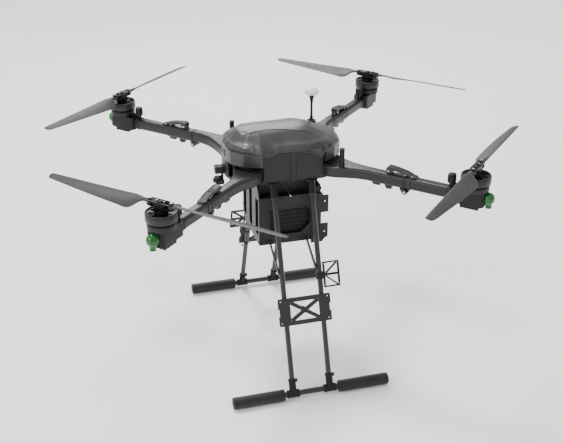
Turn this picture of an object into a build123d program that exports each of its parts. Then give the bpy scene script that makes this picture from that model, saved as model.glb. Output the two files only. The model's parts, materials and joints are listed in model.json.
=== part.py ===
from build123d import *
import os
from math import cos, hypot, radians, sin

# A heavy-lift folding quadcopter: a hub with a payload bay and tall skids, four fold-down arms, and
# a two-blade folding propeller on each arm. Millimetres, +Z up, nose towards -X.
# The origin is on the ground, midway between the skids and under the hub's centre.

# ---- driving dimensions ------------------------------------------------------------------------
WHEELBASE = 1280.0
MOTOR_REACH = WHEELBASE / 2
ARM_AZIMUTHS = {"fl": 225.0, "fr": 135.0, "rl": -45.0, "rr": 45.0}
ARM_Z = 689.0
TUBE_SIZE = 36.0
TUBE_WALL = 2.0
TUBE_CORNER = 11.0
TUBE_END = 668.0
SLEEVE_SIZE = 38.0
NEAR_SEAM = 430.0
FAR_SEAM = 338.0
SEAM_GAP = 0.3

PROP_RADIUS = 381.0
PROP_Z = 781.0
PIN_REACH = 35.0
MOTOR_RADIUS = 44.0
MOTOR_TOP_Z = 760.0
MOTOR_BASE_Z = 729.0

HUB_BOTTOM_Z = 649.0
HUB_WALL = 3.0
HUB_HALF_WIDTH = 124.0
HUB_HALF_LENGTH = 192.0
HUB_TAIL = 178.0
PANEL_TOP_Z = 747.0
CANOPY_TOP_Z = 794.0
CORE_LOWER_Z = HUB_BOTTOM_Z + HUB_WALL
CORE_UPPER_Z = 700.0
CORE_PLATE = 3.0

FOOT_RADIUS = 19.0
FOOT_Z = FOOT_RADIUS
FOOT_Y = 360.5
FOOT_HALF_LENGTH = 258.0
FOOT_TUBE_RADIUS = 9.0
LEG_X = 61.0
LEG_RADIUS = 8.5
LEG_TOP_Y = 120.6
LEG_TOP_Z = 644.0

BAY_FRONT_X = -103.0
BAY_REAR_X = 100.0
BAY_HALF_WIDTH = 112.0
BAY_BOTTOM_Z = 429.0
BAY_TOP_Z = 594.0
BAY_WALL = 3.0

RUNNING = 0.05

# ---- fold joint and latch ------------------------------------------------------------------------
FOLD_PIN_Z = 660.0
FOLD_PIN_RADIUS = 3.0
KNUCKLE_RADIUS = 8.0
KNUCKLE_INNER = 9.0
KNUCKLE_OUTER = 16.0
LATCH_PIVOT = 374.0
LATCH_PIVOT_Z = 716.0
LATCH_PIN_RADIUS = 2.0
LATCH_HALF_WIDTH = 11.0
LATCH_EAR = 7.7

os.makedirs("parts", exist_ok=True)


def save(builder, name):
    builder.part.label = name
    export_step(builder.part, f"parts/{name}.step")


def save_pieces(name, *pieces):
    """Writes touching pieces of one node as separate solids."""
    export_step(Compound(label=name, children=list(pieces)), f"parts/{name}.step")


# ---- planes --------------------------------------------------------------------------------------
def outward(azimuth):
    return Vector(cos(radians(azimuth)), sin(radians(azimuth)), 0)


def leftward(azimuth):
    return Vector(-sin(radians(azimuth)), cos(radians(azimuth)), 0)


def side_plane(azimuth, shift=0.0):
    """Upright plane along an arm: x is the reach outward, y is the height."""
    return Plane(origin=leftward(azimuth) * shift, x_dir=outward(azimuth), z_dir=leftward(azimuth) * -1)


def cross_plane(azimuth, reach):
    """Upright plane square to an arm at a reach: x is to the arm's left, y is the height."""
    return Plane(origin=outward(azimuth) * reach, x_dir=leftward(azimuth), z_dir=outward(azimuth))


def level_plane(azimuth, reach, height, shift=0.0):
    """Level plane centred on a point of an arm: x points outward, y to the arm's left."""
    centre = outward(azimuth) * reach + leftward(azimuth) * shift + Vector(0, 0, height)
    return Plane(origin=centre, x_dir=outward(azimuth), z_dir=(0, 0, 1))


# ---- hub -----------------------------------------------------------------------------------------
HUB_CORNERS = [(98, HUB_HALF_WIDTH), (150, 106), (183, 66), (HUB_HALF_LENGTH, 24)]
TAIL_CORNERS = [(98, HUB_HALF_WIDTH), (140, 106), (170, 66), (HUB_TAIL, 24)]
HUB_CORNER_RADIUS = 18.0


def hub_outline(height, inset=0.0, lean=0.0):
    """The hub's rounded, stretched octagon at a height, drawn in by the inset and shifted to the nose."""
    length_share = 1 - inset / HUB_HALF_LENGTH
    width_share = 1 - inset / HUB_HALF_WIDTH
    nose = [(-x * length_share - lean, y * width_share) for x, y in HUB_CORNERS]
    tail = [(x * length_share - lean, y * width_share) for x, y in TAIL_CORNERS]
    points = list(tail)
    points += [(x, -y) for x, y in reversed(tail)]
    points += [(x, -y) for x, y in nose]
    points += [(x, y) for x, y in reversed(nose)]
    with BuildSketch(Plane.XY.offset(height)) as outline:
        with BuildLine():
            Polyline(*points, close=True)
        make_face()
        fillet(outline.vertices(), HUB_CORNER_RADIUS * width_share)
    return outline.sketch


def signed_corners():
    return [(sx, sy) for sx in (-1, 1) for sy in (-1, 1)]


with BuildPart() as hub_tray:
    extrude(hub_outline(HUB_BOTTOM_Z), amount=PANEL_TOP_Z - HUB_BOTTOM_Z)
    extrude(hub_outline(CORE_LOWER_Z, HUB_WALL), amount=PANEL_TOP_Z, mode=Mode.SUBTRACT)
    # openings that the arm roots pass through, one at each corner
    for sx, sy in signed_corners():
        with BuildSketch(Plane.XY.offset(HUB_BOTTOM_Z + 9)):
            with BuildLine():
                Polyline((sx * 91, sy * 90), (sx * 91, sy * 140), (sx * 210, sy * 140),
                         (sx * 210, sy * 46), (sx * 150, sy * 46), close=True)
            make_face()
        extrude(amount=45, mode=Mode.SUBTRACT)
    # dips in the top edge where the canopy comes down between the panels
    with BuildSketch(Plane.XZ) as dips:
        with BuildLine():
            Polyline((-47, PANEL_TOP_Z + 1), (-79, 733), (-97, PANEL_TOP_Z + 1), close=True)
        make_face()
        with BuildLine():
            Polyline((53, PANEL_TOP_Z + 1), (78, 726), (92, 718), (112, PANEL_TOP_Z + 1), close=True)
        make_face()
    extrude(amount=200, both=True, mode=Mode.SUBTRACT)
    # the canopy covers the nose and tail walls, so these are low
    with BuildSketch(Plane.XY.offset(700)):
        with Locations((-HUB_HALF_LENGTH, 0), (HUB_TAIL, 0)):
            Rectangle(60, 100)
    extrude(amount=60, mode=Mode.SUBTRACT)
    # tapered rib in the middle of each side panel
    for side in (-1, 1):
        with BuildSketch(Plane.XZ.offset(-side * HUB_HALF_WIDTH)):
            with BuildLine():
                Polyline((-9, PANEL_TOP_Z + 2), (15, PANEL_TOP_Z + 2), (8, 651), (-2, 651), close=True)
            make_face()
        extrude(amount=-side * 2.5)
save(hub_tray, "hub_tray")

# Each ring is a height, how far the canopy's skin stands inside the hub's outline there, and its nose-ward shift.
CANOPY_RINGS = [(719, 3.3, 0), (747.5, 4, 0), (760, 16, 6), (768, 33, 12), (784, 60, 22), (791, 74, 26),
                (CANOPY_TOP_Z, 92, 28)]
CANOPY_SKIN = 3.0
SKIRT_HALF_WIDTH = 49.5

with BuildPart() as canopy:
    loft([hub_outline(*ring) for ring in CANOPY_RINGS], ruled=True)
    inner_rings = [hub_outline(z - CANOPY_SKIN, inset + CANOPY_SKIN, lean) for z, inset, lean in CANOPY_RINGS]
    loft(inner_rings, ruled=True, mode=Mode.SUBTRACT)
    # nose and tail skirts hang over the low end walls of the tray
    for end, face in ((-1, HUB_HALF_LENGTH), (1, HUB_TAIL)):
        with BuildSketch(Plane.XY.offset(700.3)) as skirt:
            with BuildLine():
                inner, corner, outer = end * (face - 11), end * (face - 5.8), end * face
                Polyline((inner, -SKIRT_HALF_WIDTH), (corner, -SKIRT_HALF_WIDTH), (outer, -23), (outer, 23),
                         (corner, SKIRT_HALF_WIDTH), (inner, SKIRT_HALF_WIDTH), close=True)
            make_face()
        extrude(amount=49)
    # seat for the satellite mast
    with BuildSketch(Plane.XY.offset(CORE_UPPER_Z)):
        with Locations((113, 53)):
            Circle(9.3)
    extrude(amount=100, mode=Mode.SUBTRACT)
save(canopy, "canopy")

with BuildPart() as core_plates:
    for plate_z in (CORE_LOWER_Z, CORE_UPPER_Z):
        extrude(hub_outline(plate_z, 13), amount=CORE_PLATE)
        with BuildSketch(Plane.XY.offset(plate_z)):
            with Locations((-60, 0), (60, 0)):
                RectangleRounded(70, 110, 12)
        extrude(amount=CORE_PLATE, mode=Mode.SUBTRACT)
save(core_plates, "core_plates")

with BuildPart() as flight_controller:
    with BuildSketch(Plane.XY.offset(CORE_UPPER_Z + CORE_PLATE)):
        RectangleRounded(46, 96, 4)
    extrude(amount=26)
    chamfer(flight_controller.faces().sort_by(Axis.Z)[-1].edges(), 2)
save(flight_controller, "flight_controller")

# ---- arm roots -----------------------------------------------------------------------------------
# Each station of a root: its reach, its edges on the end side and on the panel side, and its
# lower and upper faces. The root is wide at the hub and narrows to the arm's own section.
ROOT_STATIONS = [
    (146, -22, 20, 658, 699.5),
    (158, -84, 19, 661, 694),
    (180, -70, 32, 661, 695),
    (209, -51, 31, 663, 699),
    (240, -36, 27, 666, 703),
    (270, -25, 22, 668.5, 706.5),
    (306, -19, 19, 670, 708),
]
# Arms whose joint block is on the root side, and their seam; the others carry it on the tube side.
BLOCK_ON_ROOT = {"fl": True, "rl": True, "fr": False, "rr": False}
# Side of the arm, seen outward, on which the hub's end lies: +1 is left.
END_SIDE = {"fl": -1, "rl": 1, "fr": 1, "rr": -1}
ANTENNA_REACH = {"rl": 222.0, "fr": 200.0}
ANTENNA_RADIUS = 8.0
ANTENNA_SEAT_Z = 693.0


def seam_of(arm):
    return NEAR_SEAM if BLOCK_ON_ROOT[arm] else FAR_SEAM


def arm_section(azimuth, reach, size, corner):
    """The arm's rounded-square section at a reach."""
    with BuildSketch(cross_plane(azimuth, reach)) as section:
        with Locations((0, ARM_Z)):
            RectangleRounded(size, size, corner)
    return section.sketch


def ring_length(azimuth, start, end):
    """A hollow rounded-square length of an arm's sleeve."""
    extrude(arm_section(azimuth, start, SLEEVE_SIZE, TUBE_CORNER + 1), amount=end - start)
    extrude(arm_section(azimuth, start, TUBE_SIZE, TUBE_CORNER), amount=end - start, mode=Mode.SUBTRACT)


def knuckle(azimuth, seam, direction, inner, outer):
    """Fold-hinge ears between two distances from the arm's centre, tied back to one side."""
    base_z = ARM_Z - SLEEVE_SIZE / 2
    for shift in ({(inner + outer) / 2, -(inner + outer) / 2} if inner else {0}):
        half = (outer - inner) / 2 if inner else outer
        with BuildSketch(side_plane(azimuth, shift)) as ear:
            with Locations((seam, FOLD_PIN_Z)):
                Circle(KNUCKLE_RADIUS)
            with BuildLine():
                Polyline((seam + direction * SEAM_GAP, FOLD_PIN_Z - 7.9), (seam + direction * 6, FOLD_PIN_Z - 6),
                         (seam + direction * 16, base_z), (seam + direction * 16, base_z + 0.8),
                         (seam + direction * SEAM_GAP, base_z + 0.8), close=True)
            make_face()
        extrude(ear.sketch, amount=half, both=True)


def drill(plane, x, y, radius, depth=60):
    with BuildSketch(plane) as hole:
        with Locations((x, y)):
            Circle(radius)
    extrude(hole.sketch, amount=depth, both=True, mode=Mode.SUBTRACT)


def latch_ear(azimuth):
    """Ear on top of a joint block, with the pivot pin that the latch lever turns on."""
    with BuildSketch(side_plane(azimuth)) as ear:
        with BuildLine():
            Polyline((364, 707.5), (384, 707.5), (380, 720), (376, 722), (372, 722), (368, 720), close=True)
        make_face()
    extrude(ear.sketch, amount=LATCH_EAR, both=True)
    with BuildSketch(side_plane(azimuth)) as pin:
        with Locations((LATCH_PIVOT, LATCH_PIVOT_Z)):
            Circle(LATCH_PIN_RADIUS)
    extrude(pin.sketch, amount=LATCH_HALF_WIDTH + 0.8, both=True)


def under_lugs(azimuth, flat_reach, deep_reach):
    """Stop pad and eyelet under a joint block."""
    base_z = ARM_Z - SLEEVE_SIZE / 2
    with BuildSketch(side_plane(azimuth)) as pad:
        with BuildLine():
            Polyline((flat_reach - 14, base_z + 0.8), (flat_reach - 11, base_z - 8), (flat_reach + 11, base_z - 8),
                     (flat_reach + 14, base_z + 0.8), close=True)
        make_face()
    extrude(pad.sketch, amount=9, both=True)
    with BuildSketch(side_plane(azimuth)) as eyelet:
        with BuildLine():
            Polyline((deep_reach - 16, base_z + 0.8), (deep_reach - 8, base_z - 14), (deep_reach + 8, base_z - 14),
                     (deep_reach + 12, base_z + 0.8), close=True)
        make_face()
        with Locations((deep_reach, base_z - 8)):
            Circle(2.5, mode=Mode.SUBTRACT)
    extrude(eyelet.sketch, amount=6, both=True)


def make_arm_root(arm):
    azimuth = ARM_AZIMUTHS[arm]
    seam = seam_of(arm)
    with BuildPart() as arm_root:
        with BuildSketch(cross_plane(azimuth, 104)):
            with Locations((0, (CORE_LOWER_Z + CORE_PLATE + CORE_UPPER_Z) / 2)):
                Rectangle(40, CORE_UPPER_Z - CORE_LOWER_Z - CORE_PLATE)
        extrude(amount=43)
        for reach, end_edge, panel_edge, low, high in ROOT_STATIONS:
            centre = END_SIDE[arm] * -(end_edge + panel_edge) / 2
            with BuildSketch(cross_plane(azimuth, reach)):
                with Locations((centre, (low + high) / 2)):
                    RectangleRounded(panel_edge - end_edge, high - low, min(12, 4 + (reach - 146) / 14))
        loft(ruled=True)
        ring_length(azimuth, 306, seam - SEAM_GAP)
        knuckle(azimuth, seam, -1, KNUCKLE_INNER + SEAM_GAP, KNUCKLE_OUTER)
        drill(side_plane(azimuth), seam, FOLD_PIN_Z, FOLD_PIN_RADIUS)
        if BLOCK_ON_ROOT[arm]:
            latch_ear(azimuth)
            under_lugs(azimuth, 335, 375)
        if arm in ANTENNA_REACH:
            with BuildSketch(level_plane(azimuth, ANTENNA_REACH[arm], ANTENNA_SEAT_Z, END_SIDE[arm] * -18)):
                Circle(ANTENNA_RADIUS + 1)
            extrude(amount=20, mode=Mode.SUBTRACT)
    save(arm_root, f"arm_root_{arm}")


for arm_name in ARM_AZIMUTHS:
    make_arm_root(arm_name)

with BuildPart() as fold_pins:
    for arm_name, arm_azimuth in ARM_AZIMUTHS.items():
        with BuildSketch(side_plane(arm_azimuth)):
            with Locations((seam_of(arm_name), FOLD_PIN_Z)):
                Circle(FOLD_PIN_RADIUS)
        extrude(amount=KNUCKLE_OUTER + 1, both=True)
save(fold_pins, "fold_pins")

with BuildPart() as stub_antennas:
    for arm_name, antenna_reach in ANTENNA_REACH.items():
        seat = level_plane(ARM_AZIMUTHS[arm_name], antenna_reach, ANTENNA_SEAT_Z, END_SIDE[arm_name] * -18)
        with BuildSketch(seat):
            Circle(ANTENNA_RADIUS)
        extrude(amount=68)
save(stub_antennas, "stub_antennas")


# ---- satellite mast and stub antennas ------------------------------------------------------------
MAST_X = 113.0
MAST_Y = 53.0
MAST_FOOT_Z = CORE_UPPER_Z + CORE_PLATE
DOME_LOW_Z = 863.0
DOME_TOP_Z = 885.0
DOME_RADIUS = 23.0


def turned(profile, x, y):
    """Turns a list of radius-height points about an upright axis at x, y."""
    with BuildSketch(Plane(origin=(x, y, 0), x_dir=(1, 0, 0), z_dir=(0, -1, 0))) as half:
        with BuildLine():
            Polyline(*profile, close=True)
        make_face()
    revolve(half.sketch, axis=Axis((x, y, 0), (0, 0, 1)))


with BuildPart() as gnss_mast:
    turned([(0, MAST_FOOT_Z), (9, MAST_FOOT_Z), (9, 764), (5, 779), (4, 781), (4, 848), (11, DOME_LOW_Z),
            (0, DOME_LOW_Z)], MAST_X, MAST_Y)
save(gnss_mast, "gnss_mast")

with BuildPart() as gnss_dome:
    turned([(0, DOME_LOW_Z), (17, DOME_LOW_Z), (DOME_RADIUS, DOME_LOW_Z + 6), (DOME_RADIUS, DOME_LOW_Z + 12),
            (20, DOME_LOW_Z + 18), (13, DOME_TOP_Z - 1), (0, DOME_TOP_Z)], MAST_X, MAST_Y)
save(gnss_dome, "gnss_dome")

# ---- arms ----------------------------------------------------------------------------------------
def make_arm_tube(arm):
    """A carbon tube and the sleeve with the fold-hinge ear at its inner end, as two solids."""
    azimuth = ARM_AZIMUTHS[arm]
    seam = seam_of(arm)
    start = seam + SEAM_GAP
    outer = arm_section(azimuth, start, TUBE_SIZE, TUBE_CORNER)
    with BuildPart() as sleeve:
        ring_length(azimuth, start, start + 18 if BLOCK_ON_ROOT[arm] else 440)
        knuckle(azimuth, seam, 1, 0, KNUCKLE_INNER)
        drill(side_plane(azimuth), seam, FOLD_PIN_Z, FOLD_PIN_RADIUS + RUNNING)
        if not BLOCK_ON_ROOT[arm]:
            latch_ear(azimuth)
            under_lugs(azimuth, 424, 388)
        extrude(outer, amount=TUBE_END - start, mode=Mode.SUBTRACT)
    with BuildPart() as tube:
        extrude(outer, amount=TUBE_END - start)
        bore = arm_section(azimuth, start, TUBE_SIZE - 2 * TUBE_WALL, TUBE_CORNER - TUBE_WALL)
        extrude(bore, amount=TUBE_END - start, mode=Mode.SUBTRACT)
    save_pieces(f"arm_tube_{arm}", tube.part, sleeve.part)


for arm_name in ARM_AZIMUTHS:
    make_arm_tube(arm_name)


def make_latch_lever(arm):
    """Arched over-centre lever: a top plate with two cheeks that turn on the ear's pin."""
    azimuth = ARM_AZIMUTHS[arm]
    with BuildPart() as latch_lever:
        with BuildSketch(side_plane(azimuth)):
            with BuildLine():
                Polyline((366, 716), (366, 724), (370, 729), (392, 727.5), (428, 721.5), (449, 714.5),
                         (462, 712.5), (462, 710), (446, 710), (436, 713.5), (424, 716), (392, 719.5),
                         (382, 716), close=True)
            make_face()
            with Locations((LATCH_PIVOT, LATCH_PIVOT_Z)):
                Circle(6.5)
            with BuildLine():
                Polyline((425, 717), (425, 710), (430, 710), (430, 716), close=True)
            make_face()
        extrude(amount=LATCH_HALF_WIDTH, both=True)
        # the underside is hollow between the cheeks
        with BuildSketch(side_plane(azimuth)):
            with BuildLine():
                Polyline((360, 700), (360, 722), (370, 726.2), (391, 724.8), (423, 719.6), (423, 700), close=True)
            make_face()
        extrude(amount=LATCH_HALF_WIDTH - 3, both=True, mode=Mode.SUBTRACT)
        drill(side_plane(azimuth), LATCH_PIVOT, LATCH_PIVOT_Z, LATCH_PIN_RADIUS + RUNNING)
    save(latch_lever, f"latch_lever_{arm}")


# ---- motor mounts, motors and propellers -----------------------------------------------------------
MOUNT_START = 578.0
MOUNT_END = 676.0
KNOB_REACH = 569.0
SINK_REACH = 633.0
MOUNT_WIDTH = 54.0
MOUNT_LOW_Z = 669.0
FLANGE_LOW_Z = 712.0
BELL_HEIGHT = 25.0
LENS_Z = 692.5
LENS_RADIUS = 18.5
SHAFT_RADIUS = 4.0
STATOR_RADIUS = 39.5


def make_motor_mount(arm):
    """Clamp block round the tube's end, with the motor's stator and the speed controller's heat sink."""
    azimuth = ARM_AZIMUTHS[arm]
    middle = (MOUNT_START + MOUNT_END) / 2
    length = MOUNT_END - MOUNT_START
    with BuildPart() as block:
        with BuildSketch(level_plane(azimuth, middle, MOUNT_LOW_Z)):
            RectangleRounded(length, MOUNT_WIDTH, 10)
        extrude(amount=FLANGE_LOW_Z - MOUNT_LOW_Z)
        fillet(block.faces().sort_by(Axis.Z)[0].edges(), 1.5)
        with BuildSketch(level_plane(azimuth, MOTOR_REACH, FLANGE_LOW_Z)):
            Circle(40.5)
        extrude(amount=MOTOR_BASE_Z - FLANGE_LOW_Z)
        extrude(arm_section(azimuth, 560, TUBE_SIZE, TUBE_CORNER), amount=TUBE_END - 560, mode=Mode.SUBTRACT)
        # round clamp knob just inboard of the motor, on a stem that the flange's lug carries
        with BuildSketch(level_plane(azimuth, KNOB_REACH, ARM_Z + TUBE_SIZE / 2)):
            Circle(7)
        extrude(amount=38)
        with BuildSketch(level_plane(azimuth, KNOB_REACH, ARM_Z + TUBE_SIZE / 2 + 13)):
            Circle(12)
        extrude(amount=25)
        with BuildSketch(level_plane(azimuth, KNOB_REACH + 21, FLANGE_LOW_Z)):
            Rectangle(42, 12)
        extrude(amount=7)
    with BuildPart() as stator:
        with BuildSketch(level_plane(azimuth, MOTOR_REACH, MOTOR_BASE_Z)):
            Circle(36)
        extrude(amount=3)
        with BuildSketch(level_plane(azimuth, MOTOR_REACH, MOTOR_BASE_Z + 3)):
            Circle(20)
        extrude(amount=5)
        with BuildSketch(level_plane(azimuth, MOTOR_REACH, MOTOR_BASE_Z + 8)):
            Circle(STATOR_RADIUS)
        extrude(amount=15)
        drill(level_plane(azimuth, MOTOR_REACH, MOTOR_BASE_Z), 0, 0, SHAFT_RADIUS + RUNNING)
    with BuildPart() as heat_sink:
        with BuildSketch(level_plane(azimuth, SINK_REACH, MOUNT_LOW_Z - 4)):
            Rectangle(56, 42)
        extrude(amount=4)
        with BuildSketch(level_plane(azimuth, SINK_REACH, MOUNT_LOW_Z - 13)):
            with GridLocations(0, 7.2, 1, 6):
                Rectangle(54, 3)
        extrude(amount=9)
    save_pieces(f"motor_mount_{arm}", block.part, stator.part, heat_sink.part)


def make_led_lens(arm):
    azimuth = ARM_AZIMUTHS[arm]
    with BuildPart() as led_lens:
        with BuildSketch(side_plane(azimuth)):
            with BuildLine():
                Line((MOUNT_END, LENS_Z), (MOUNT_END, LENS_Z + 16.5))
                Line((MOUNT_END, LENS_Z + 16.5), (MOUNT_END + 3, LENS_Z + LENS_RADIUS))
                Line((MOUNT_END + 3, LENS_Z + LENS_RADIUS), (MOUNT_END + 10, LENS_Z + LENS_RADIUS))
                ThreePointArc((MOUNT_END + 10, LENS_Z + LENS_RADIUS), (MOUNT_END + 20.5, LENS_Z + 12.5),
                              (MOUNT_END + 24, LENS_Z))
                Line((MOUNT_END + 24, LENS_Z), (MOUNT_END, LENS_Z))
            make_face()
        axis_line = Axis(outward(azimuth) * MOUNT_END + Vector(0, 0, LENS_Z), outward(azimuth))
        revolve(axis=axis_line)
        with BuildSketch(level_plane(azimuth, MOUNT_END + 9, LENS_Z - 29)):
            Circle(8.5)
        extrude(amount=22)
        fillet(led_lens.faces().sort_by(Axis.Z)[0].edges(), 4)
    save(led_lens, f"led_lens_{arm}")


def make_motor_bell(arm):
    azimuth = ARM_AZIMUTHS[arm]
    with BuildPart() as motor_bell:
        with BuildSketch(level_plane(azimuth, MOTOR_REACH, MOTOR_TOP_Z - BELL_HEIGHT)):
            Circle(MOTOR_RADIUS)
        extrude(amount=BELL_HEIGHT)
        chamfer(motor_bell.faces().sort_by(Axis.Z)[-1].edges(), 3)
        with BuildSketch(level_plane(azimuth, MOTOR_REACH, MOTOR_TOP_Z - BELL_HEIGHT)):
            Circle(MOTOR_RADIUS - 2.7)
        extrude(amount=BELL_HEIGHT - 4, mode=Mode.SUBTRACT)
        # cooling windows between the spokes of the top
        with BuildSketch(level_plane(azimuth, MOTOR_REACH, MOTOR_TOP_Z - 6)):
            with PolarLocations(26, 8):
                RectangleRounded(18, 9, 4)
        extrude(amount=10, mode=Mode.SUBTRACT)
        with BuildSketch(level_plane(azimuth, MOTOR_REACH, MOTOR_BASE_Z + 1)):
            Circle(SHAFT_RADIUS)
        extrude(amount=MOTOR_TOP_Z - MOTOR_BASE_Z - 2)
    save(motor_bell, f"motor_bell_{arm}")


CLAMP_LENGTH = 86.0
CLAMP_WIDTH = 25.0
CLAMP_PLATE = 3.0
BLADE_ROOT_HALF = 4.2
PIN_RADIUS = 2.5


def make_prop_clamp(arm):
    """Boss with two plates that hold the blade roots, and the two fold pins through them."""
    azimuth = ARM_AZIMUTHS[arm]
    gap_low = PROP_Z - BLADE_ROOT_HALF - SEAM_GAP
    gap_high = PROP_Z + BLADE_ROOT_HALF + SEAM_GAP
    with BuildPart() as clamp:
        with BuildSketch(level_plane(azimuth, MOTOR_REACH, MOTOR_TOP_Z)):
            SlotOverall(46, CLAMP_WIDTH - 3, rotation=90)
        extrude(amount=gap_high - MOTOR_TOP_Z)
        for plate_z in (gap_low - CLAMP_PLATE, gap_high):
            with BuildSketch(level_plane(azimuth, MOTOR_REACH, plate_z)):
                SlotOverall(CLAMP_LENGTH, CLAMP_WIDTH, rotation=90)
            extrude(amount=CLAMP_PLATE)
        for side in (-1, 1):
            drill(level_plane(azimuth, MOTOR_REACH, PROP_Z), 0, side * PIN_REACH, PIN_RADIUS, 12)
    pins = []
    for side in (-1, 1):
        with BuildPart() as pin:
            with BuildSketch(level_plane(azimuth, MOTOR_REACH, gap_low - CLAMP_PLATE, side * PIN_REACH)):
                Circle(PIN_RADIUS)
            extrude(amount=gap_high - gap_low + 2 * CLAMP_PLATE)
        pins.append(pin.part)
    save_pieces(f"prop_clamp_{arm}", clamp.part, *pins)


# Each station of a blade: radius, leading and trailing edge from the blade's axis, pitch, thickness.
BLADE_STATIONS = [
    (38, 7.5, 7.5, 0, 8.4),
    (50, 7.5, 7.5, 0, 8.0),
    (58, 8.5, 10, 12, 7.4),
    (66, 11, 22, 20, 6.6),
    (76, 12, 33, 25, 5.8),
    (88, 12, 39, 26, 5.2),
    (120, 11.5, 38, 23, 4.7),
    (180, 11, 34.5, 19, 4.0),
    (250, 10.5, 28.5, 16, 3.4),
    (320, 10, 21, 13.5, 2.8),
    (368, 9.5, 15.5, 12, 2.4),
    (PROP_RADIUS, 8.5, 5, 12, 2.0),
]


def blade_section(azimuth, spin, station):
    """A cambered section square to the blade, pitched with its leading edge up."""
    radius, lead, trail, pitch, thickness = station
    along = leftward(azimuth) * spin
    trailing = outward(azimuth) * -spin
    origin = outward(azimuth) * MOTOR_REACH + along * radius + Vector(0, 0, PROP_Z)
    across = trailing * cos(radians(pitch)) - Vector(0, 0, sin(radians(pitch)))
    half = thickness / 2
    with BuildSketch(Plane(origin=origin, x_dir=across, z_dir=along)) as section:
        with BuildLine():
            Polyline((-lead, -0.35 * half), (-lead, 0.35 * half), (-lead * 0.5, 0.8 * half), (0.1 * trail, half),
                     (0.55 * trail, 0.75 * half), (trail, 0.2 * half), (trail, -0.2 * half),
                     (0.5 * trail, -0.6 * half), (-0.4 * lead, -half), close=True)
        make_face()
    return section.sketch


def make_blade(arm, letter, spin):
    azimuth = ARM_AZIMUTHS[arm]
    with BuildPart() as blade:
        loft([blade_section(azimuth, spin, station) for station in BLADE_STATIONS], ruled=True)
        root_plane = level_plane(azimuth, MOTOR_REACH, PROP_Z - BLADE_ROOT_HALF, spin * PIN_REACH)
        with BuildSketch(root_plane):
            Circle(9.5)
            with Locations((0, spin * 6)):
                Rectangle(15, 12)
        extrude(amount=2 * BLADE_ROOT_HALF)
        drill(root_plane, 0, 0, PIN_RADIUS + RUNNING, 20)
    save(blade, f"blade_{letter}_{arm}")


for arm_name in ARM_AZIMUTHS:
    make_latch_lever(arm_name)
    make_motor_mount(arm_name)
    make_led_lens(arm_name)
    make_motor_bell(arm_name)
    make_prop_clamp(arm_name)
    make_blade(arm_name, "a", 1)
    make_blade(arm_name, "b", -1)


# ---- landing gear --------------------------------------------------------------------------------
LEG_SLOPE = (FOOT_Y - LEG_TOP_Y) / (LEG_TOP_Z - FOOT_Z)
LEG_LENGTH = hypot(FOOT_Y - LEG_TOP_Y, LEG_TOP_Z - FOOT_Z)


def leg_direction(side):
    return Vector(0, -side * (FOOT_Y - LEG_TOP_Y), LEG_TOP_Z - FOOT_Z).normalized()


def leg_y(side, height):
    """Where a leg's axis stands at a height; side is -1 for the near skid and +1 for the far one."""
    return side * (FOOT_Y - (height - FOOT_Z) * LEG_SLOPE)


def leg_plane(x, side, along=0.0):
    """Plane square to a leg, at a distance up along it from the foot tube's axis."""
    foot = Vector(x, side * FOOT_Y, FOOT_Z)
    return Plane(origin=foot + leg_direction(side) * along, x_dir=(1, 0, 0), z_dir=leg_direction(side))


def skid_face(side, lift=0.0):
    """Plane that holds a skid's two legs: x is along the craft, y runs up the legs."""
    normal = Vector(1, 0, 0).cross(leg_direction(side))
    return Plane(origin=Vector(0, side * FOOT_Y, FOOT_Z) - normal * side * lift, x_dir=(1, 0, 0), z_dir=normal)


LEGS = [(x, side) for side in (-1, 1) for x in (-LEG_X, LEG_X)]
TEE_RADIUS = 12.5
SOCKET_RADIUS = 12.0
SOCKET_LENGTH = 42.0

with BuildPart() as leg_tubes:
    for leg_x, leg_side in LEGS:
        with BuildSketch(leg_plane(leg_x, leg_side, 13)):
            Circle(LEG_RADIUS)
            Circle(LEG_RADIUS - 1.5, mode=Mode.SUBTRACT)
        extrude(amount=LEG_LENGTH - 13)
save(leg_tubes, "leg_tubes")

with BuildPart() as foot_tubes:
    for leg_side in (-1, 1):
        with BuildSketch(Plane.YZ.offset(-FOOT_HALF_LENGTH)):
            with Locations((leg_side * FOOT_Y, FOOT_Z)):
                Circle(FOOT_TUBE_RADIUS)
                Circle(FOOT_TUBE_RADIUS - 1.5, mode=Mode.SUBTRACT)
        extrude(amount=2 * FOOT_HALF_LENGTH)
save(foot_tubes, "foot_tubes")

with BuildPart() as foot_sleeves:
    for leg_side in (-1, 1):
        for start in (-FOOT_HALF_LENGTH, 89):
            with BuildSketch(Plane.YZ.offset(start)):
                with Locations((leg_side * FOOT_Y, FOOT_Z)):
                    Circle(FOOT_RADIUS)
                    Circle(FOOT_TUBE_RADIUS, mode=Mode.SUBTRACT)
            extrude(amount=FOOT_HALF_LENGTH - 89)
save(foot_sleeves, "foot_sleeves")

with BuildPart() as foot_tees:
    for leg_x, leg_side in LEGS:
        with BuildSketch(Plane.YZ.offset(leg_x - 20)):
            with Locations((leg_side * FOOT_Y, FOOT_Z)):
                Circle(TEE_RADIUS)
        extrude(amount=40)
        with BuildSketch(leg_plane(leg_x, leg_side)):
            Circle(TEE_RADIUS - 1)
        extrude(amount=48)
    for leg_x, leg_side in LEGS:
        with BuildSketch(leg_plane(leg_x, leg_side)):
            Circle(LEG_RADIUS)
        extrude(amount=50, mode=Mode.SUBTRACT)
    for leg_side in (-1, 1):
        with BuildSketch(Plane.YZ.offset(-FOOT_HALF_LENGTH)):
            with Locations((leg_side * FOOT_Y, FOOT_Z)):
                Circle(FOOT_TUBE_RADIUS)
        extrude(amount=2 * FOOT_HALF_LENGTH, mode=Mode.SUBTRACT)
save(foot_tees, "foot_tees")

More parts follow.
